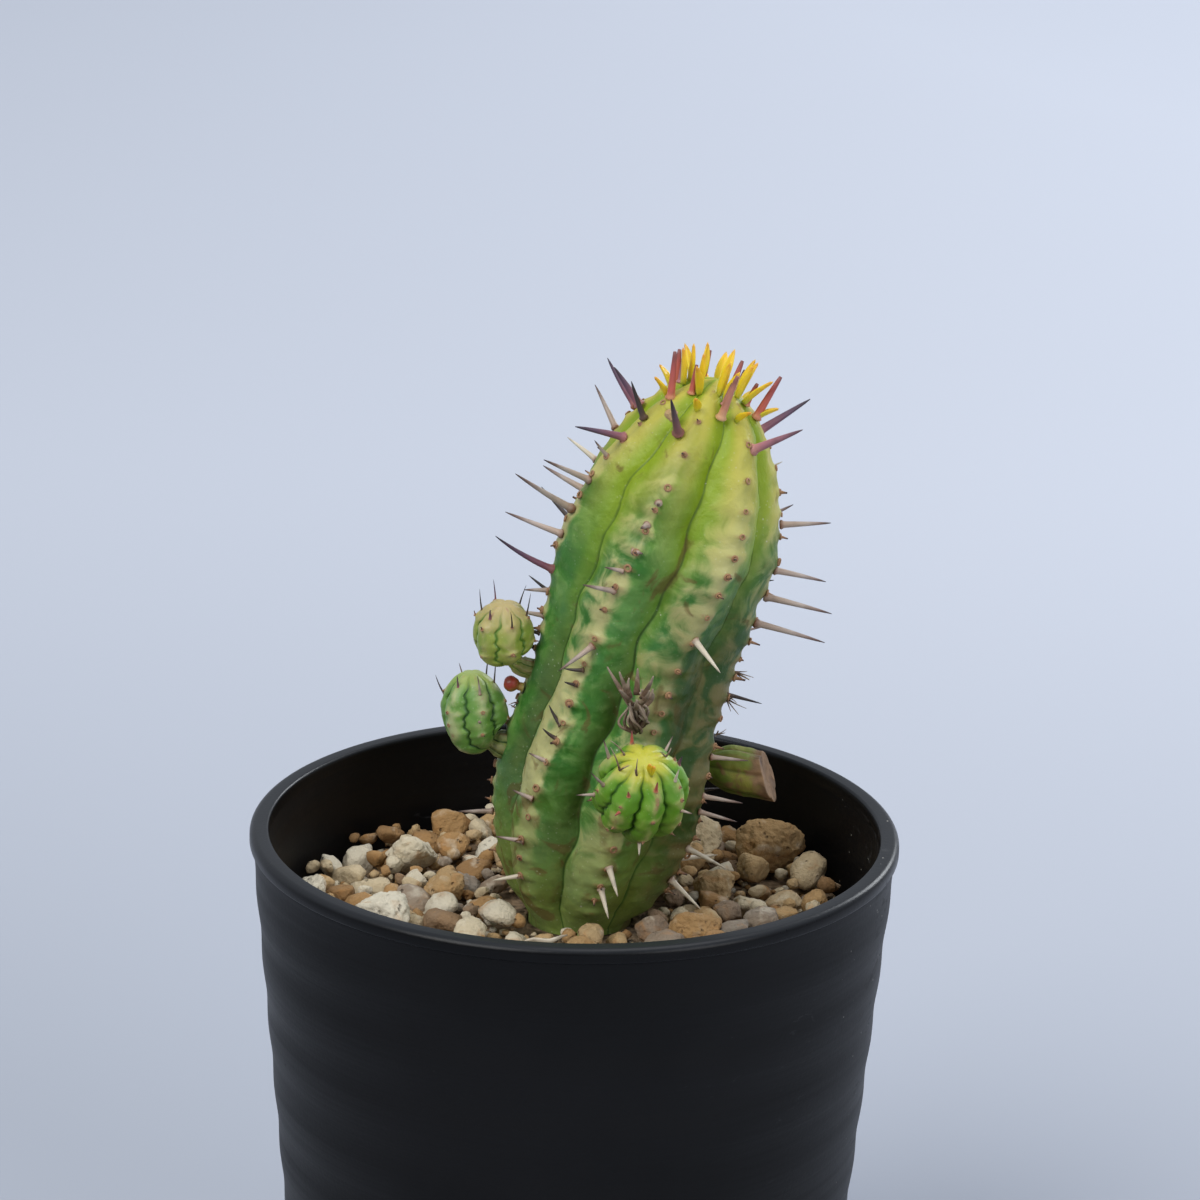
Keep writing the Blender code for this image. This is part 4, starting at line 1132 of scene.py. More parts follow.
# %% The tree that sets out the leaf scars
def scar_tree():
    tree = Tree("leaf_scars")
    ring_size = tree.input("Ring radius", "NodeSocketFloat", 0.34 * MM)
    ring_wire = tree.input("Ring thickness", "NodeSocketFloat", 0.13 * MM)
    peg_length = tree.input("Peg length", "NodeSocketFloat", 0.95 * MM)
    peg_size = tree.input("Peg radius", "NodeSocketFloat", 0.20 * MM)
    peg_share = tree.input("Share with pegs", "NodeSocketFloat", 0.55)
    seed = tree.input("Seed", "NodeSocketFloat", 3.0)

    points = tree.add("GeometryNodeMeshToPoints", {}, {"Mesh": tree.entry.outputs["Geometry"]})
    out = tree.named("out", "FLOAT_VECTOR")
    size = tree.named("size")
    upright = tree.add("FunctionNodeAlignRotationToVector", {"axis": "Z"}, {"Vector": out})
    tilt = tree.chance("FLOAT_VECTOR", (-0.35, -0.35, -3.1), (0.35, 0.35, 3.1), seed, 1)
    tilted = tree.add("FunctionNodeRotateRotation", {"rotation_space": "LOCAL"},
                      {"Rotation": upright, "Rotate By": tilt})

    path = tree.add("GeometryNodeCurvePrimitiveCircle", {}, {"Resolution": 9,
                                                              "Radius": ring_size})
    outline = tree.add("GeometryNodeCurvePrimitiveCircle", {}, {"Resolution": 6,
                                                                 "Radius": ring_wire})
    hoop = tree.add("GeometryNodeCurveToMesh", {}, {"Curve": path, "Profile Curve": outline})
    hoop = tree.add("GeometryNodeStoreNamedAttribute", {"data_type": "FLOAT", "domain": "POINT"},
                    {"Geometry": hoop, "Name": "along", "Value": 0.30})
    hoops = tree.add("GeometryNodeInstanceOnPoints", {},
                     {"Points": points, "Instance": hoop, "Rotation": upright, "Scale": size})

    peg_line = tree.add("GeometryNodeCurvePrimitiveLine", {"mode": "DIRECTION"},
                        {"Direction": (0.0, 0.0, 1.0), "Length": peg_length})
    peg_line = tree.add("GeometryNodeResampleCurve", {}, {"Curve": peg_line, "Count": 5})
    parameter = tree.add("GeometryNodeSplineParameter", {}, {}, "Factor")
    bulge = tree.add("ShaderNodeMapRange", {"interpolation_type": "SMOOTHSTEP"},
                     {"Value": parameter, "To Min": 1.15, "To Max": 0.55})
    peg_line = tree.add("GeometryNodeStoreNamedAttribute",
                        {"data_type": "FLOAT", "domain": "POINT"},
                        {"Geometry": peg_line, "Name": "along", "Value": parameter})
    peg_ring = tree.add("GeometryNodeCurvePrimitiveCircle", {}, {"Resolution": 7,
                                                                  "Radius": peg_size})
    peg = tree.add("GeometryNodeCurveToMesh", {}, {"Curve": peg_line, "Profile Curve": peg_ring,
                                                   "Scale": bulge, "Fill Caps": True})
    lucky = tree.add("FunctionNodeRandomValue", {"data_type": "BOOLEAN"},
                     {"Probability": peg_share, "Seed": 4}, 3)
    stretch = tree.chance("FLOAT_VECTOR", (0.7, 0.7, 0.5), (1.2, 1.2, 1.35), seed, 2)
    scaled = tree.add("ShaderNodeVectorMath", {"operation": "MULTIPLY"}, {0: stretch, 1: size})
    pegs = tree.add("GeometryNodeInstanceOnPoints", {},
                    {"Points": points, "Selection": lucky, "Instance": peg, "Rotation": tilted,
                     "Scale": scaled})

    join = tree.group.nodes.new("GeometryNodeJoinGeometry")
    for part in (hoops, pegs):
        tree.group.links.new(part, join.inputs[0])
    solid = tree.add("GeometryNodeRealizeInstances", {}, {"Geometry": join.outputs[0]})
    done = tree.add("GeometryNodeSetMaterial", {}, {"Geometry": solid,
                                                    "Material": scar_bark.material})
    tree.group.links.new(done, tree.exit.inputs["Geometry"])
    return tree


# %% Put scars on the stem and the offsets
scar_places, scar_outs, scar_sizes = [], [], []
scar_chance = random.Random(11)
for rib in range(RIBS):
    for row in joint_rows(stem_body["counts"], rib):
        share = stem_shares[row]
        if not 0.03 < share < 0.955:
            continue
        _, out, sideways, upward = on_stem(crest_angle(rib, share), share)
        scar_places.append(stem_body["rings"][row, rib * PER_RIB] + out * 0.02 * MM)
        scar_outs.append(out + sideways * scar_chance.uniform(-0.35, 0.35))
        scar_sizes.append(scar_chance.uniform(0.7, 1.15) * (1.0 - max(0.0, share - 0.7)))
for name, grown in grown_offsets.items():
    for rib in range(grown["ribs"]):
        for row in joint_rows(grown["counts"], rib):
            if 0.3 < grown["rows"][row] < 0.93:
                point, out, up = on_offset(name, rib, grown["rows"][row])
                scar_places.append(point)
                scar_outs.append(out)
                scar_sizes.append(scar_chance.uniform(0.35, 0.6))
scar_points = point_object("scar_points", scar_places, out=scar_outs, size=scar_sizes)
scar_mesh = scar_tree().grow(scar_points, "leaf_scars")
finished(scar_mesh, "leaf_scars", scar_bark, ())
print("scars:", len(scar_places), "faces:", len(scar_mesh.polygons))

# %% [markdown]
# ## Leaves at the tip
#
# A euphorbia grows small leaves only at its crown and soon drops them. Each is a pointed
# blade, folded along its midrib and bent back a little. It is made of flattened rings whose
# width follows a sine, so that it is thin at the edge and closed all round.

# %% Grow the leaves
def grow_leaf(skin, foot, aim, across, length, width, curl, fold=0.28):
    """One pointed blade; curl carries the tip away from the middle of the crown."""
    aim = np.asarray(aim, float) / np.linalg.norm(aim)
    across = np.asarray(across, float) / np.linalg.norm(across)
    thick = np.cross(aim, across)
    thick = thick / np.linalg.norm(thick)
    rings, along = [], []
    rows = 16
    turn = np.radians(np.arange(16) * 22.5)
    for row in range(rows):
        share = row / rows
        centre = foot + aim * length * share - thick * length * curl * share**2
        half = width / 2 * max(0.22, math.sin(math.pi * (share * 0.80 + 0.16)) ** 0.9)
        depth = 0.30 * MM * (1.0 - 0.5 * share)
        outline = np.cos(turn)
        ridge = -np.abs(outline) * fold * half * 2
        row_points = (centre + np.outer(outline * half, across)
                      + np.outer(np.sin(turn) * depth + ridge * -1.0, thick))
        rings.append(row_points)
        along.append([share] * 16)
    tip = foot + aim * length * 1.02 - thick * length * curl
    skin.add(np.array(rings), foot, tip, along=np.array(along))


LEAF_COUNT = 7
LEAF_FIRST = -134.0
LEAF_TILTS = (14.0, 30.0)
LEAF_SHARE = 0.978
LEAF_LENGTH = 4.2
LEAF_WIDTH = 1.2


def leaf_on_crown(skin, angle, share, tilt, length, width, curl):
    root, out, _, _ = on_stem(angle, share)
    direction = stem_direction(share)
    outward = ring((0, 0, 0), direction, 1.0, [angle])[0]
    lean = math.radians(tilt)
    aim = direction * math.cos(lean) + outward * math.sin(lean)
    grow_leaf(skin, root - out * 0.15 * MM, aim, np.cross(direction, outward), length * MM,
              width * MM, curl)


for number in range(1, LEAF_COUNT + 1):
    blade = Skin()
    tilt = LEAF_TILTS[number % 2]
    leaf_on_crown(blade, LEAF_FIRST + (number - 1) * 360.0 / LEAF_COUNT, LEAF_SHARE, tilt,
                  LEAF_LENGTH, LEAF_WIDTH, tilt * 0.003)
    blade.piece(f"crown_leaf_{number:02d}", leaf_blade, [f"leaf_{number:02d}"], "yellow_leaf")
# More leaves stand between them, by turns inside and outside the ring
young_leaves = Skin()
for step in range(2 * LEAF_COUNT):
    inside = step % 2
    leaf_on_crown(young_leaves, LEAF_FIRST + (step + 0.5) * 180.0 / LEAF_COUNT,
                  0.985 if inside else 0.955, 8.0 if inside else 42.0,
                  4.2 if inside else 2.8, 1.05, 0.04 if inside else 0.12)
point, out, up = on_offset("pup_front", 0, 0.97)
for side, size in ((-0.5, 2.0), (0.4, 1.6)):
    grow_leaf(young_leaves, point, up + out * 0.2 + np.array((side * 0.4, 0, 0)), (1, 0.2, 0),
              size * MM, 0.8 * MM, 0.05)
young_leaves.piece("young_leaves", leaf_blade, (), "yellow_leaf")
print("leaves:", 3 * LEAF_COUNT + 2)

# %% [markdown]
# ## Bud, cut branch and dried flower
#
# These small things make the plant itself. The bud is a ball with three soft seams. The
# branch was cut at a slant and has healed with a corky face. The dried flower is a bundle of
# twisted fibres that opens into curled, papery bracts, each a tapering strand.

# %% The bud
bud_low, bud_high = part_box("red_bud")
bud_middle = np.array((bud_low + bud_high) / 2)
bud_radius = (bud_high.z - bud_low.z) / 2
BUD_SHARE = 0.37
_, bud_out, _, _ = on_stem(crest_angle(-1, BUD_SHARE), BUD_SHARE)
bud_aim = bud_out * 0.25 + np.array((-0.15, -0.75, 0.62))
bud_rings, bud_along = [], []
for row in range(1, 24):
    lift = -math.cos(math.pi * row / 24)
    reach = math.sin(math.pi * row / 24) * bud_radius
    angles = np.arange(36) * 10.0
    seams = 1.0 - 0.09 * np.abs(np.cos(np.radians(angles * 1.5))) ** 6
    _, _, forward = across_axes(bud_aim)
    bud_rings.append(ring(bud_middle + forward * lift * bud_radius, bud_aim, reach * seams, angles))
    bud_along.append([row / 24] * 36)
bud = Skin()
_, _, forward = across_axes(bud_aim)
bud.add(np.array(bud_rings), bud_middle - forward * bud_radius,
        bud_middle + forward * bud_radius * 0.97, along=np.array(bud_along))
grow_spine(bud, bud_middle - bud_out * bud_radius * 1.5, bud_out, bud_radius * 1.2,
           bud_radius * 0.5, blunt=0.8, sides=12, rows=3)
bud.piece("red_bud_skin", bud_skin, ["red_bud"], "red_bud")

# %% The healed branch
BRANCH_SHARE = 0.275
branch_foot, out, sideways, _ = on_stem(crest_angle(3, BRANCH_SHARE) - 8.0, BRANCH_SHARE)
branch_aim = out * 0.85 - sideways * 0.5 + stem_direction(BRANCH_SHARE) * 0.05
branch_aim = branch_aim / np.linalg.norm(branch_aim)
BRANCH_LENGTH = 7.0 * MM
BRANCH_RADIUS = 2.9 * MM
upward = stem_direction(BRANCH_SHARE)
branch_rings, branch_along, branch_across = [], [], []
columns = 5 * 20
u = np.abs((np.arange(columns) / 20 + 0.5) % 1.0 - 0.5) * 2
for row in range(61):
    along = row / 52 if row <= 52 else 1.0
    inward = 1.0 if row <= 52 else 1.0 - ((row - 52) / 9) ** 1.2 * 0.93
    centre = branch_foot + out * 0.4 * MM + branch_aim * BRANCH_LENGTH * along
    radius = BRANCH_RADIUS * (0.62 + 0.38 * math.sin(math.pi / 2 * min(1.0, along * 2.2)))
    reach = radius * (1.0 - 0.17 * u**2) * inward
    points = ring(centre, branch_aim, reach, 20.0 + np.arange(columns) * 3.6)
    slant = 0.45 * min(1.0, along)
    lean = (points - centre) @ upward
    points = points - np.outer(lean * slant, branch_aim)
    rough = np.array([noise.noise(Vector(p) * 450.0) + 0.5 * noise.noise(Vector(p) * 1100.0)
                      for p in points])
    sink = 0.35 * MM * (1.0 - inward)
    points = points + (points - centre) * (rough * 0.05)[:, None] - branch_aim * sink
    branch_rings.append(points)
    branch_along.append([along if row <= 52 else 1.0 + (row - 52) / 20] * columns)
    branch_across.append(u)
branch = Skin()
branch.add(np.array(branch_rings), branch_foot - out * 1.0 * MM, branch_rings[-1].mean(axis=0),
           along=np.array(branch_along), across=np.array(branch_across))
branch.piece("cut_branch_skin", healed_cut, ["cut_branch"], "healed_cut")

# %% The dried flower
def strand(skin, points, radii, sides=7, flat=1.0):
    """A tube through points, each with a radius; flat squeezes it into a ribbon."""
    points = np.array(points)
    rings = []
    for i, (point, radius) in enumerate(zip(points, radii)):
        direction = points[min(i + 1, len(points) - 1)] - points[max(i - 1, 0)]
        right, back, _ = across_axes(direction)
        turn = np.radians(np.arange(sides) * 360.0 / sides)
        rings.append(point + np.outer(np.sin(turn) * radius, right)
                     - np.outer(np.cos(turn) * radius * flat, back))
    skin.add(np.array(rings), points[0], points[-1], along=np.linspace(0, 1, len(points))[:, None])


FLOWER_SHARE = 0.395
flower_foot, out, sideways, _ = on_stem(crest_angle(1, FLOWER_SHARE) - 11.0, FLOWER_SHARE)
flower_up = stem_direction(FLOWER_SHARE)
flower_aim = flower_up + out * 0.32 - sideways * 0.30
flower_aim = flower_aim / np.linalg.norm(flower_aim)
flower_side = np.cross(flower_aim, out)
flower_side = flower_side / np.linalg.norm(flower_side)
flower_front = np.cross(flower_side, flower_aim)
flower_chance = random.Random(9)
flower = Skin()
FIBRES = 24
for number in range(FIBRES):
    angle = math.tau * number / FIBRES
    spread = flower_chance.uniform(0.25, 1.1)
    height = flower_chance.uniform(2.6, 5.4)
    twist = flower_chance.uniform(0.6, 2.0)
    kink = flower_chance.uniform(0, math.tau)
    points = []
    for step in range(14):
        share = step / 13
        reach = (0.55 + 1.30 * math.sin(math.pi * min(1.0, share * 0.85))) * spread * MM
        reach += 0.16 * math.sin(share * 9.0 + kink) * MM
        turn = angle + share * twist
        points.append(flower_foot + out * 0.5 * MM + flower_aim * height * share * MM
                      + flower_side * math.cos(turn) * reach + flower_front * math.sin(turn) * reach)
    strand(flower, points, [0.19 * MM * (1.0 - 0.5 * abs(s / 13 - 0.3)) for s in range(14)])
# Angle, start height, length, outward spread, curl back
BRACTS = (
    (20, 4.6, 3.4, 0.45, 0.2), (60, 4.2, 3.0, 0.9, 0.9), (95, 3.6, 2.6, 1.1, 1.2),
    (140, 4.0, 3.2, 0.5, -0.3), (200, 4.4, 3.6, 0.35, 0.1), (235, 3.0, 3.4, 1.3, 0.4),
    (285, 4.5, 3.0, 0.6, 0.8), (330, 2.6, 2.2, 1.2, 0.9), (170, 4.8, 2.8, 0.2, 0.5),
    (0, 3.2, 2.0, 1.3, 1.4),
)
for angle, start, length, spread, curl in BRACTS:
    turn = math.radians(angle)
    away = flower_side * math.cos(turn) + flower_front * math.sin(turn)
    points = []
    for step in range(10):
        share = step / 9
        points.append(flower_foot + out * 0.5 * MM + flower_aim * (start + length * share) * MM
                      + away * (0.7 + length * spread * share - curl * share**2.5) * MM)
    strand(flower, points, [0.38 * MM * (1.0 - 0.80 * (s / 9) ** 1.4) for s in range(10)],
           flat=0.40)
flower.piece("dried_flower_husk", husk_paper, ["dried_flower"], "dried_husk")
print("flower strands:", FIBRES + len(BRACTS))

# %% [markdown]
# Dry scraps of old flowers stay stuck to the plant: grey threads round the front offset and
# two black stars behind the right-hand rib. They are the same strands, thinner.

# %% Dry scraps
scraps = Skin()
scrap_chance = random.Random(17)


def star(centre, out, count, length, radius):
    """A tuft of short bent threads."""
    for _ in range(count):
        away = np.array([scrap_chance.gauss(0, 1) for _ in range(3)])
        away = away / np.linalg.norm(away) + out * 0.9
        side = np.cross(away, out) * scrap_chance.uniform(-0.5, 0.5)
        reach = length * scrap_chance.uniform(0.5, 1.1)
        points = [centre + away * reach * s / 6 + side * reach * (s / 6) ** 2 for s in range(7)]
        strand(scraps, points, [radius * (1.0 - 0.7 * s / 6) for s in range(7)], sides=5)


for rib, share, count, length in ((2, 0.45, 8, 1.7), (2, 0.50, 6, 1.2), (2, 0.38, 6, 1.3),
                                  (4, 0.4, 6, 1.6), (5, 0.3, 6, 1.4), (-1, 0.34, 3, 1.0)):
    point, out, sideways, _ = on_stem(crest_angle(rib, share) + 4.0, share)
    star(point, out, count, length * MM, 0.11 * MM)
for rib, share, length in ((5, 0.97, 1.8), (6, 0.95, 2.2), (2, 0.95, 1.4), (7, 0.97, 1.6)):
    point, out, up = on_offset("pup_front", rib, share)
    star(point, out * 0.5 + up, 2, length * MM, 0.13 * MM)
scraps.piece("dry_scraps", husk_paper, (), "dried_husk")

# A thin pale flake lies across the front stones
FLAKE_BEARING = math.radians(-105.0)
FLAKE_REACH = 21.0 * MM
FLAKE_FROM = np.array((FLAKE_REACH * math.cos(FLAKE_BEARING), FLAKE_REACH * math.sin(FLAKE_BEARING),
                       GRAVEL_TOP + 3.0 * MM))
FLAKE_TO = FLAKE_FROM + np.array((5.0, 2.0, 0.0)) * MM
flake = Skin()
points = [FLAKE_FROM + (FLAKE_TO - FLAKE_FROM) * s / 8 + np.array((0.0, 0.0, 0.25 * MM)) * math.sin(s)
          for s in range(9)]
strand(flake, points, [0.34 * MM * math.sin(math.pi * (s + 0.8) / 9.6) for s in range(9)], flat=0.35)
flake.piece("pale_flake", pale_spine, (), "spine_wood")

# %% [markdown]
# ## Pumice
#
# Pumice breaks along flat faces and is full of small holes. A stone starts as a fine ball;
# each point is pulled in to the nearest of a dozen random planes, which gives blunt facets,
# and then noise and a few pits roughen it. The CAD stones are replaced one by one, each
# filling its own box.

# %% A function that breaks a stone
def stone_shape(seed, level, planes=12, pits=16):
    """Unit stone: directions pulled in to random planes, with noise and pits."""
    chance = np.random.default_rng(seed)
    build = bmesh.new()
    bmesh.ops.create_icosphere(build, subdivisions=level, radius=1.0)
    ways = np.array([v.co[:] for v in build.verts])
    ways /= np.linalg.norm(ways, axis=1, keepdims=True)
    normals = chance.normal(size=(planes, 3))
    normals /= np.linalg.norm(normals, axis=1, keepdims=True)
    offsets = chance.uniform(0.56, 0.94, planes)
    facing = ways @ normals.T
    reach = np.where(facing > 0.05, offsets / np.maximum(facing, 0.05), 9.0)
    soft = 22.0
    reach = (np.sum(np.minimum(reach, 3.0) ** -soft, axis=1) + 1.0) ** (-1.0 / soft)
    shift = Vector(chance.uniform(-9, 9, 3))
    coarse = np.array([noise.noise(Vector(w) * 2.2 + shift) for w in ways])
    fine = np.array([noise.noise(Vector(w) * 6.5 + shift) for w in ways])
    grain = np.array([noise.noise(Vector(w) * 17.0 + shift) for w in ways])
    reach = reach * (1.0 + 0.10 * coarse + 0.060 * fine + 0.034 * grain)
    for _ in range(pits):
        way = chance.normal(size=3)
        way /= np.linalg.norm(way)
        away = np.linalg.norm(ways - way, axis=1)
        size = chance.uniform(0.06, 0.17)
        reach -= 0.07 * np.exp(-(away / size) ** 4)
    shape = ways * reach[:, None]
    faces = [[v.index for v in f.verts] for f in build.faces]
    build.free()
    return shape, faces


def stone_mesh(name, shape, faces, tone):
    mesh = bpy.data.meshes.new(name)
    mesh.from_pydata(shape.tolist(), [], faces)
    layer = mesh.attributes.new("tone", "FLOAT", "POINT")
    layer.data.foreach_set("value", np.full(len(shape), tone, np.float32))
    mesh.shade_smooth()
    mesh.update()
    return mesh


def pumice_finish():
    """Cream to brown pumice: the tone of each stone picks its place on the ramp."""
    stone = Finish("pumice_stone", 0.9, Specular_IOR_Level=0.25)
    tone = stone.attribute("tone")
    cloud = stone.noise(240.0, 4.0)
    grain = stone.noise(1500.0, 5.0)
    base = stone.ramp((tone + (cloud - 0.5) * 0.16).clear(), (
        (0.0, (0.60, 0.56, 0.46)), (0.20, (0.52, 0.44, 0.30)), (0.40, (0.44, 0.305, 0.155)),
        (0.60, (0.35, 0.205, 0.085)), (0.78, (0.235, 0.135, 0.060)), (1.0, (0.27, 0.235, 0.195))))
    brown_tone = stone.noise(420.0, 4.0, distortion=0.7).rise(0.54, 0.72)
    base = stone.mix(brown_tone * 0.5, base, (0.40, 0.205, 0.075))
    chalk = stone.noise(520.0, 3.0).rise(0.56, 0.75)
    base = stone.mix(chalk * 0.35, base, (0.74, 0.68, 0.56))
    # Painted shade: the small pores are darkened as if shade fell inside them; the bump sinks them
    # too.
    hole = stone.cells(1000.0).rise(0.26, 0.06) * stone.noise(620.0, 3.0).rise(0.50, 0.62)
    base = stone.mix(hole * 0.45, base, (0.120, 0.085, 0.055))
    stone.colour(base)
    stone.bump((grain, 0.00042), (1.0 - hole, 0.00034), (cloud, 0.00035))
    return stone


pumice = pumice_finish()

# %% Replace the CAD stones
# Tone of each stone, from white at 0 through cream and tan to brown, then grey at 1
STONE_TONES = (0.50, 0.25, 0.05, 0.58, 0.78, 0.70, 0.40, 0.12, 0.25, 0.38, 0.04, 0.98, 0.32,
               0.02, 0.50, 0.48, 0.70, 0.26)
STONE_FACETS = 5


def fill_box(shape, node):
    """Scale a unit shape so that it fills a CAD node's box."""
    low, high = (np.array(corner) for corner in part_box(node))
    lowest, highest = shape.min(axis=0), shape.max(axis=0)
    return (shape - lowest) / (highest - lowest) * (high - low) + low


for number, tone in enumerate(STONE_TONES, start=1):
    shape, faces = stone_shape(100 + number, STONE_FACETS)
    node = f"stone_{number:02d}"
    mesh = stone_mesh(node, fill_box(shape, node), faces, tone)
    finished(mesh, f"pumice_{number:02d}", pumice, [node])
shape, faces = stone_shape(77, 4)
crumb = stone_mesh("crumb", fill_box(shape, "crown_crumb"), faces, 0.4)
finished(crumb, "pumice_crumb", pumice, ["crown_crumb"])
print("stones:", len(STONE_TONES))

# %% [markdown]
# Between the big stones lies the rest of the gravel. Its places are thrown like darts: a new
# stone is kept only where it doesn't sink deep into one that is there already. Geometry Nodes
# then sets one of six ready stones on each point, turns it any way and gives it its own
# tone. The grit below is the same tree with smaller sizes.

# %% Throw the places of the gravel
WALL_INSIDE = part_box("gravel_bed")[1].x
BED_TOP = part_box("gravel_bed")[1].z
gravel_chance = random.Random(41)
taken = []
for number in range(1, len(STONE_TONES) + 1):
    low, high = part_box(f"stone_{number:02d}")
    taken.append(((low.x + high.x) / 2, (low.y + high.y) / 2, (high.x - low.x + high.y - low.y) / 4))


def throw(count, small, large, low, high, squeeze, tries=40):
    """Places for stones with radii from small to large, between two heights."""
    made = []
    for _ in range(count * tries):
        if len(made) == count:
            break
        radius = gravel_chance.uniform(small, large)
        reach = math.sqrt(gravel_chance.uniform(0, 1)) * (WALL_INSIDE - radius * 0.95)
        turn = gravel_chance.uniform(0, math.tau)
        x, y = reach * math.cos(turn), reach * math.sin(turn)
        if math.hypot(x - STEM_FOOT[0], y - STEM_FOOT[1]) < STEM_RADIUS * 0.72 + radius * 0.8:
            continue
        if all(math.hypot(x - a, y - b) > (radius + r) * squeeze for a, b, r in taken):
            taken.append((x, y, radius))
            made.append((x, y, gravel_chance.uniform(low, high), radius))
    return made


middling = throw(120, 1.7 * MM, 3.3 * MM, BED_TOP + 0.4 * MM, BED_TOP + 2.8 * MM, 0.78)
small_stones = throw(260, 0.9 * MM, 1.7 * MM, BED_TOP + 0.4 * MM, BED_TOP + 2.6 * MM, 0.72)
grit = throw(900, 0.45 * MM, 0.95 * MM, BED_TOP - 0.2 * MM, BED_TOP + 0.9 * MM, 0.35, 6)
print("gravel:", len(middling), "small:", len(small_stones), "grit:", len(grit))

# %% The tree that lays the gravel
def gravel_tree(name, kinds, seed_value):
    tree = Tree(name)
    seed = tree.input("Seed", "NodeSocketFloat", float(seed_value))
    flat = tree.input("Flatness", "NodeSocketFloat", 0.72)
    points = tree.add("GeometryNodeMeshToPoints", {}, {"Mesh": tree.entry.outputs["Geometry"]})
    source = tree.add("GeometryNodeCollectionInfo", {}, {"Collection": kinds,
                                                         "Separate Children": True,
                                                         "Reset Children": True})
    size = tree.named("size")
    which = tree.chance("INT", 0, len(kinds.objects) - 1, seed, 1)
    turn = tree.chance("FLOAT_VECTOR", (-0.5, -0.5, 0.0), (0.5, 0.5, math.tau), seed, 2)
    stretch = tree.chance("FLOAT_VECTOR", (0.85, 0.7, 0.8), (1.2, 1.0, 1.05), seed, 3)
    squash = tree.add("ShaderNodeCombineXYZ", {}, {"X": 1.0, "Y": 1.0, "Z": flat})
    stretch = tree.add("ShaderNodeVectorMath", {"operation": "MULTIPLY"}, {0: stretch, 1: squash})
    scale = tree.add("ShaderNodeVectorMath", {"operation": "MULTIPLY"}, {0: stretch, 1: size})
    laid = tree.add("GeometryNodeInstanceOnPoints", {},
                    {"Points": points, "Instance": source, "Pick Instance": True,
                     "Instance Index": which, "Rotation": turn, "Scale": scale})
    tone = tree.chance("FLOAT", 0.02, 0.98, seed, 4)
    laid = tree.add("GeometryNodeStoreNamedAttribute", {"data_type": "FLOAT",
                                                        "domain": "INSTANCE"},
                    {"Geometry": laid, "Name": "tone", "Value": tone})
    solid = tree.add("GeometryNodeRealizeInstances", {}, {"Geometry": laid})
    done = tree.add("GeometryNodeSetMaterial", {}, {"Geometry": solid,
                                                    "Material": pumice.material})
    tree.group.links.new(done, tree.exit.inputs["Geometry"])
    return tree


def stone_kinds(name, level, count):
    """A hidden collection of ready stones for a tree to choose from."""
    kinds = bpy.data.collections.new(name)
    scene.collection.children.link(kinds)
    for number in range(count):
        shape, faces = stone_shape(300 + level * 20 + number, level)
        mesh = bpy.data.meshes.new(f"{name}_{number}")
        mesh.from_pydata(shape.tolist(), [], faces)
        mesh.shade_smooth()
        kinds.objects.link(bpy.data.objects.new(f"{name}_{number}", mesh))
    return kinds


def lay(name, places, level, count, seed, replaces=()):
    kinds = stone_kinds(name + "_kinds", level, count)
    points = point_object(name + "_points", [p[:3] for p in places],
                          size=[p[3] for p in places])
    mesh = gravel_tree(name + "_tree", kinds, seed).grow(points, name)
    for ready in list(kinds.objects):
        bpy.data.objects.remove(ready)
    bpy.data.collections.remove(kinds)
    made = finished(mesh, name, pumice, replaces)
    print(name, "faces:", len(mesh.polygons))
    return made


lay("middling_gravel", middling, 3, 8, 51)
lay("small_gravel", small_stones, 2, 8, 52)
lay("grit", grit, 1, 6, 53)

# %% [markdown]
# Under the stones the bed itself shows in the gaps. It is a turned disc with a rough top,
# round the stem's neck, and it stands for the CAD bed. The soil and the roots are inside the
# pot, where only the drain holes show a little of them, so the CAD shapes stay and get a
# finish.

# %% The bed, the soil and the roots
def bed_finish(name, dark, light, grain_scale):
    earth = Finish(name, 0.95, Specular_IOR_Level=0.2)
    grain = earth.noise(grain_scale, 5.0)
    cells = earth.cells(grain_scale * 0.9)
    base = earth.ramp((grain + (cells - 0.4) * 0.3).clear(), ((0.30, dark), (0.72, light)))
    earth.colour(base)
    earth.bump((grain, 0.00030), (1.0 - cells, 0.00040))
    return earth


bed_stuff = bed_finish("gravel_bed", (0.050, 0.034, 0.020), (0.30, 0.21, 0.13), 900.0)
soil_stuff = bed_finish("potting_soil", (0.018, 0.011, 0.007), (0.095, 0.058, 0.036), 650.0)
root_stuff = bed_finish("root_bark", (0.11, 0.070, 0.040), (0.36, 0.26, 0.165), 500.0)
bed_low, bed_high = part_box("gravel_bed")
bed_angles = np.arange(120) * 3.0
stem_hole = STEM_NECK + 0.3 * MM
bed_rings = []
bed_profile = [(1.0, bed_low.z), (1.0, bed_high.z - 0.9 * MM)]
bed_profile += [(1.0 - 0.94 * step / 26, bed_high.z) for step in range(1, 27)]
bed_profile += [(0.0, bed_high.z - 0.2 * MM), (0.0, bed_low.z)]
for share, height in bed_profile:
    outer = ring((0, 0, height), (0, 0, 1), bed_high.x, bed_angles)
    inner = ring((STEM_FOOT[0], STEM_FOOT[1], height), (0, 0, 1), stem_hole, bed_angles)
    points = outer * share + inner * (1.0 - share)
    if height == bed_high.z:
        lift = [0.35 * noise.noise(Vector(p) * 500.0) + 0.25 * noise.noise(Vector(p) * 1300.0)
                for p in points]
        points[:, 2] += (np.array(lift) - 0.45) * MM
    bed_rings.append(points)
bed_grid = np.array(bed_rings)
rows, around, _ = bed_grid.shape
index = np.arange(rows * around).reshape(rows, around)
following = np.roll(index, -1, axis=1)
below = np.roll(index, -1, axis=0)
both = np.roll(following, -1, axis=0)
bed_mesh = bpy.data.meshes.new("gravel_bed_top")
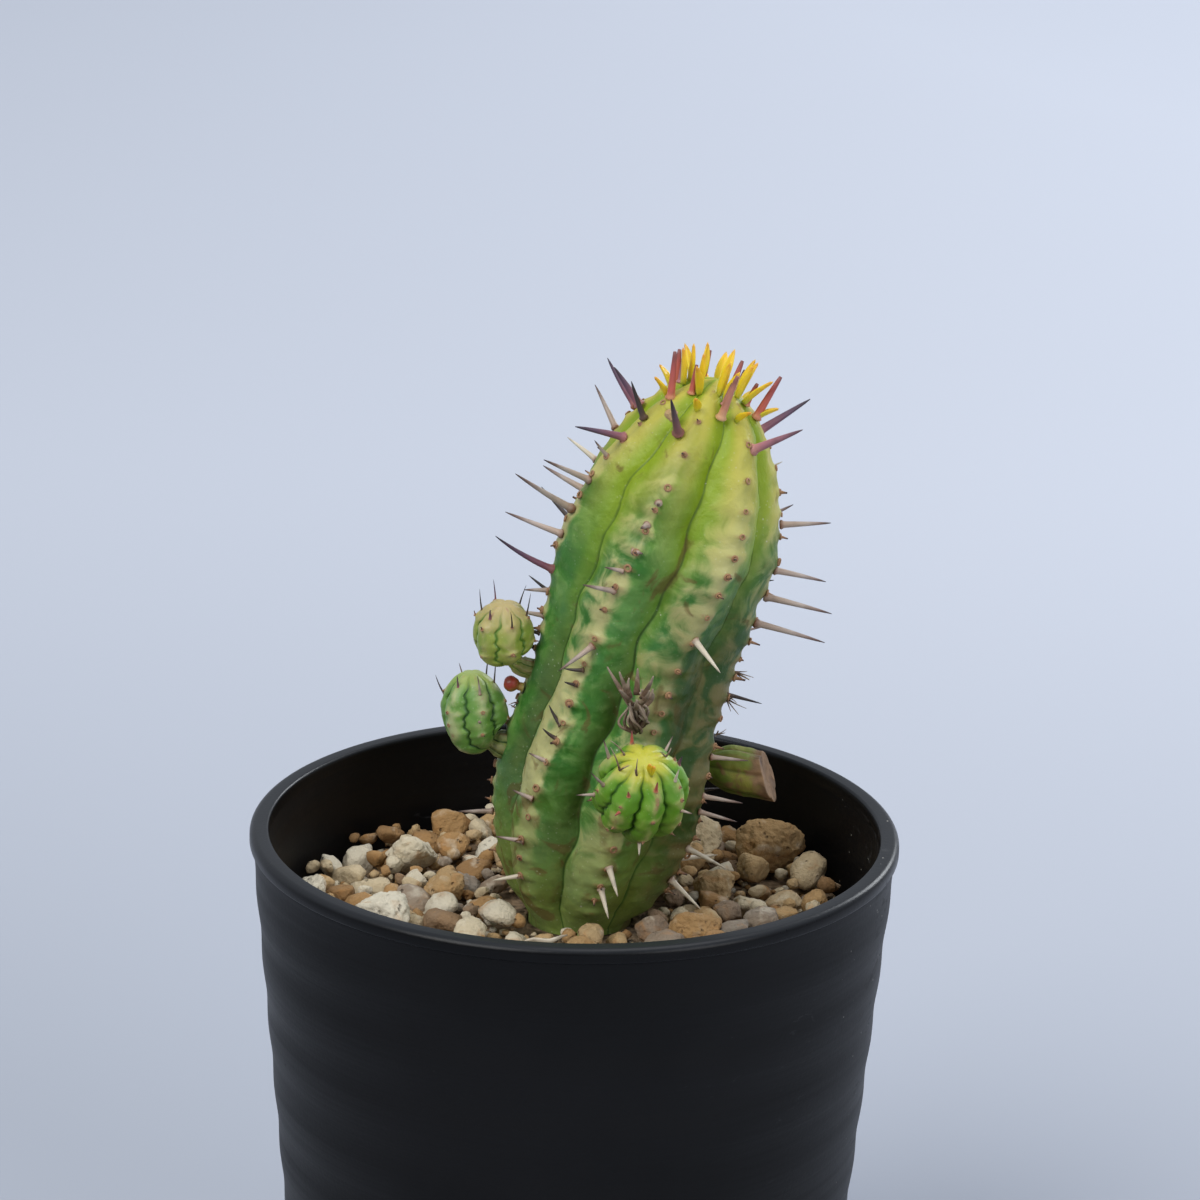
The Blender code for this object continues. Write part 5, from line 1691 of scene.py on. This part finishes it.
bed_mesh.from_pydata(bed_grid.reshape(-1, 3).tolist(), [],
                     np.stack([index, following, both, below], axis=-1).reshape(-1, 4).tolist())
bed_mesh.shade_smooth()
finished(bed_mesh, "gravel_bed_top", bed_stuff, ["gravel_bed"])
for node, finish in (("potting_soil", soil_stuff), ("roots", root_stuff)):
    node_mesh = frame["nodes"][node].data
    node_mesh.materials.clear()
    node_mesh.materials.append(finish.material)
print("bed faces:", len(bed_mesh.polygons))

# %% [markdown]
# ## The pot
#
# The pot is turned: one profile goes once round the axis. Its wall carries soft rings, as
# thin moulded pots do, and its lip has a tight inner corner and a rounder outer one. A
# Screw modifier turns the profile finely enough for the edge to look round, and a Boolean
# opens the drain holes where the CAD pot has them.

# %% Turn the pot
RIM_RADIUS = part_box("pot")[1].x
POT_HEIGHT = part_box("pot")[1].z
WALL_SLOPE = 0.082
WALL = 1.6 * MM
LIP_HEIGHT = 1.6 * MM
LIP_PROUD = 0.12 * MM
LIP_WIDTH = 2.2 * MM
LIP_ROUND_IN = 0.35 * MM
LIP_ROUND_OUT = 0.8 * MM
RIPPLE_PITCH = 8.0 * MM
RIPPLE_DEPTH = 0.18 * MM
BASE = 2.4 * MM
FOOT_RECESS = 2.0 * MM
FOOT_RING = 3.2 * MM


def wall_radius(height):
    return RIM_RADIUS - LIP_PROUD - WALL_SLOPE * (POT_HEIGHT - height)


def rippled_radius(height):
    wave = 0.5 - 0.5 * math.cos(math.tau * (POT_HEIGHT - height) / RIPPLE_PITCH)
    return wall_radius(height) - RIPPLE_DEPTH * wave * min(1.0, height / RIPPLE_PITCH)


def lip_corner(centre_radius, rounding, start, end, count=8):
    points = []
    for step in range(count + 1):
        angle = math.radians(start + (end - start) * step / count)
        points.append((centre_radius + rounding * math.cos(angle),
                       POT_HEIGHT - rounding + rounding * math.sin(angle)))
    return points


lip_base = POT_HEIGHT - LIP_HEIGHT
pot_floor = FOOT_RECESS + BASE
inner = [(wall_radius(pot_floor) - WALL * 2, pot_floor)]
inner.append((wall_radius(pot_floor + WALL) - WALL, pot_floor + WALL))
inner.append((min(wall_radius(lip_base) - WALL, RIM_RADIUS - LIP_WIDTH), lip_base))
profile = [(0.0, pot_floor)] + inner
profile += lip_corner(RIM_RADIUS - LIP_WIDTH + LIP_ROUND_IN, LIP_ROUND_IN, 180, 90)
profile += lip_corner(RIM_RADIUS - LIP_ROUND_OUT, LIP_ROUND_OUT, 90, 0)
profile += [(RIM_RADIUS, lip_base + 0.15 * MM), (RIM_RADIUS - 0.08 * MM, lip_base)]
profile.append((wall_radius(lip_base) + 0.05 * MM, lip_base - LIP_PROUD * 0.8))
wall_top = lip_base - LIP_PROUD * 1.5
WALL_ROWS = 120
profile += [(rippled_radius(wall_top - (wall_top - WALL) * row / WALL_ROWS),
             wall_top - (wall_top - WALL) * row / WALL_ROWS) for row in range(WALL_ROWS + 1)]
foot_radius = wall_radius(0.0)
profile += [(foot_radius - 0.10 * MM, 0.55 * MM), (foot_radius - 0.35 * MM, 0.14 * MM),
            (foot_radius - WALL / 2, 0.0), (foot_radius - FOOT_RING, 0.0),
            (foot_radius - FOOT_RING - FOOT_RECESS / 2, FOOT_RECESS), (0.0, FOOT_RECESS)]
pot_mesh = bpy.data.meshes.new("pot_wall")
pot_mesh.from_pydata([(r, 0.0, z) for r, z in profile],
                     [(i, i + 1) for i in range(len(profile) - 1)], [])
pot_line = bpy.data.objects.new("pot_line", pot_mesh)
scene.collection.objects.link(pot_line)
turning = pot_line.modifiers.new("turn", "SCREW")
turning.axis = "Z"
turning.angle = math.tau
turning.steps = 200
turning.render_steps = 200
turning.use_merge_vertices = True
turning.merge_threshold = 0.00001
drill_build = bmesh.new()
for hole in range(5):
    angle = math.tau * (hole + 0.5) / 5
    at = Matrix.Translation((15 * MM * math.sin(angle), -15 * MM * math.cos(angle), 3.2 * MM))
    bmesh.ops.create_cone(drill_build, cap_ends=True, segments=32, radius1=2.4 * MM,
                          radius2=2.4 * MM, depth=7.2 * MM, matrix=at)
drill_mesh = bpy.data.meshes.new("drill")
drill_build.to_mesh(drill_mesh)
drill_build.free()
drill = bpy.data.objects.new("drill", drill_mesh)
scene.collection.objects.link(drill)
opening = pot_line.modifiers.new("drain", "BOOLEAN")
opening.operation = "DIFFERENCE"
opening.solver = "EXACT"
opening.object = drill
graph = bpy.context.evaluated_depsgraph_get()
turned = bpy.data.meshes.new_from_object(pot_line.evaluated_get(graph))
bpy.data.objects.remove(pot_line)
bpy.data.objects.remove(drill)
turned.shade_smooth()
turned.set_sharp_from_angle(angle=math.radians(40))
print("pot faces:", len(turned.polygons))

# %% [markdown]
# Black plastic that has been handled is never evenly black. Its gloss varies, fine lines run
# round it, the lip is worn pale, and dust and small white scuffs sit on it. The lines come
# from noise that is stretched flat, so that it changes with height but hardly round the wall.

# %% The black plastic
def pot_finish():
    plastic = Finish("black_pot", 0.42, Specular_IOR_Level=0.15)
    cloud = plastic.noise(34.0, 3.0)
    lines = plastic.noise(60.0, 3.0, where=plastic.stretched((0.35, 0.35, 9.0)))
    grain = plastic.noise(2200.0, 2.0)
    height = plastic.add("ShaderNodeSeparateXYZ", {}, {0: plastic.place}, 2)
    base = plastic.mix(cloud.rise(0.3, 0.7), (0.0026, 0.0027, 0.0032), (0.0052, 0.0053, 0.0063))
    wear = (height + (cloud - 0.5) * 0.0006).rise(POT_HEIGHT - 0.65 * MM, POT_HEIGHT - 0.20 * MM)
    base = plastic.mix(wear * 0.30, base, (0.050, 0.056, 0.066))
    haze = plastic.noise(300.0, 6.0, where=plastic.stretched((1.0, 1.0, 2.4)), distortion=1.2)
    spots = plastic.noise(16.0, 1.0)
    scuff = (haze * 0.7 + spots * 0.5).rise(0.70, 0.80)
    base = plastic.mix(scuff * 0.06, base, (0.42, 0.43, 0.46))
    dust = plastic.cells(620.0).rise(0.075, 0.045) * spots.rise(0.50, 0.60)
    base = plastic.mix(dust * 0.7, base, (0.55, 0.54, 0.50))
    plastic.colour(base)
    lip = height.rise(POT_HEIGHT - 1.9 * MM, POT_HEIGHT - 1.5 * MM)
    plastic.roughness((lines * 0.16 + cloud * 0.14 + grain * 0.06 + 0.27 - lip * 0.14
                       + scuff * 0.2 + dust * 0.3).clear())
    plastic.bump((lines, 0.00010), (grain, 0.000012), (cloud, 0.00020))
    return plastic


finished(turned, "pot_wall", pot_finish(), ["pot"])

# %% [markdown]
# ## Floor and light
#
# The plant stands on a pale, slightly blue surface that fills the view. One large soft light
# comes from the upper left in front, a weaker one from behind on the right edges the black
# pot, and an even sky keeps the shadows open. The sky is dimmer on the camera's side, so the
# front of the pot stays black.

# %% Floor
def floor_finish():
    paper = Finish("pale_floor", 0.9, Specular_IOR_Level=0.1)
    right = paper.add("ShaderNodeSeparateXYZ", {}, {0: paper.place}, 0)
    back = paper.add("ShaderNodeSeparateXYZ", {}, {0: paper.place}, 1)
    # Painted light: the floor is painted paler towards the back and the right, standing in for
    # brighter light there, and darker near the front.
    far = (back + 0.02).rise(-0.05, 0.50) * 0.55 + back.rise(0.2, 1.6) * 0.30
    painted_light_gradient = (far * 0.9 + right.rise(-0.4, 0.4) * 0.42).clear()
    base = paper.mix(painted_light_gradient, (0.285, 0.315, 0.375), (0.600, 0.640, 0.735))
    paper.colour(paper.mix(paper.noise(3.0, 2.0) * 0.12, base, (0.50, 0.52, 0.58)))
    return paper


floor_build = bmesh.new()
bmesh.ops.create_circle(floor_build, cap_ends=True, segments=96, radius=6.0)
floor_mesh = bpy.data.meshes.new("floor")
floor_build.to_mesh(floor_mesh)
floor_build.free()
floor_mesh.materials.append(floor_finish().material)
floor = bpy.data.objects.new("floor", floor_mesh)
scene.collection.objects.link(floor)

# %% Lights and sky
def softbox(name, place, aim, size, power, colour):
    data = bpy.data.lights.new(name, "AREA")
    data.shape = "DISK"
    data.size = size
    data.energy = power
    data.color = colour
    lamp = bpy.data.objects.new(name, data)
    lamp.location = place
    lamp.rotation_euler = (Vector(aim) - Vector(place)).to_track_quat("-Z", "Y").to_euler()
    scene.collection.objects.link(lamp)
    return lamp


MIDDLE = (0.0, 0.0, 0.10)
softbox("key", (-1.25, -1.35, 1.9), MIDDLE, 1.7, 47.0, (1.0, 0.985, 0.95))
softbox("top", (0.5, 0.1, 2.6), MIDDLE, 1.8, 24.0, (1.0, 1.0, 1.0))
softbox("fill", (1.7, -1.8, 1.1), MIDDLE, 1.7, 25.0, (0.97, 0.98, 1.0))
softbox("edge", (1.9, 2.4, 1.5), MIDDLE, 1.4, 44.0, (0.92, 0.96, 1.0))
world = bpy.data.worlds.new("studio")
scene.world = world
world.use_nodes = True
sky = world.node_tree
background = sky.nodes["Background"]
direction = sky.nodes.new("ShaderNodeTexCoord")
split = sky.nodes.new("ShaderNodeSeparateXYZ")
sky.links.new(direction.outputs["Generated"], split.inputs[0])
fade = sky.nodes.new("ShaderNodeMapRange")
fade.inputs["From Min"].default_value = -0.7
fade.inputs["From Max"].default_value = 0.7
fade.inputs["To Min"].default_value = 0.16
fade.inputs["To Max"].default_value = 0.50
sky.links.new(split.outputs["Y"], fade.inputs["Value"])
sky.links.new(fade.outputs["Result"], background.inputs["Strength"])
background.inputs["Color"].default_value = (0.84, 0.90, 1.0, 1.0)
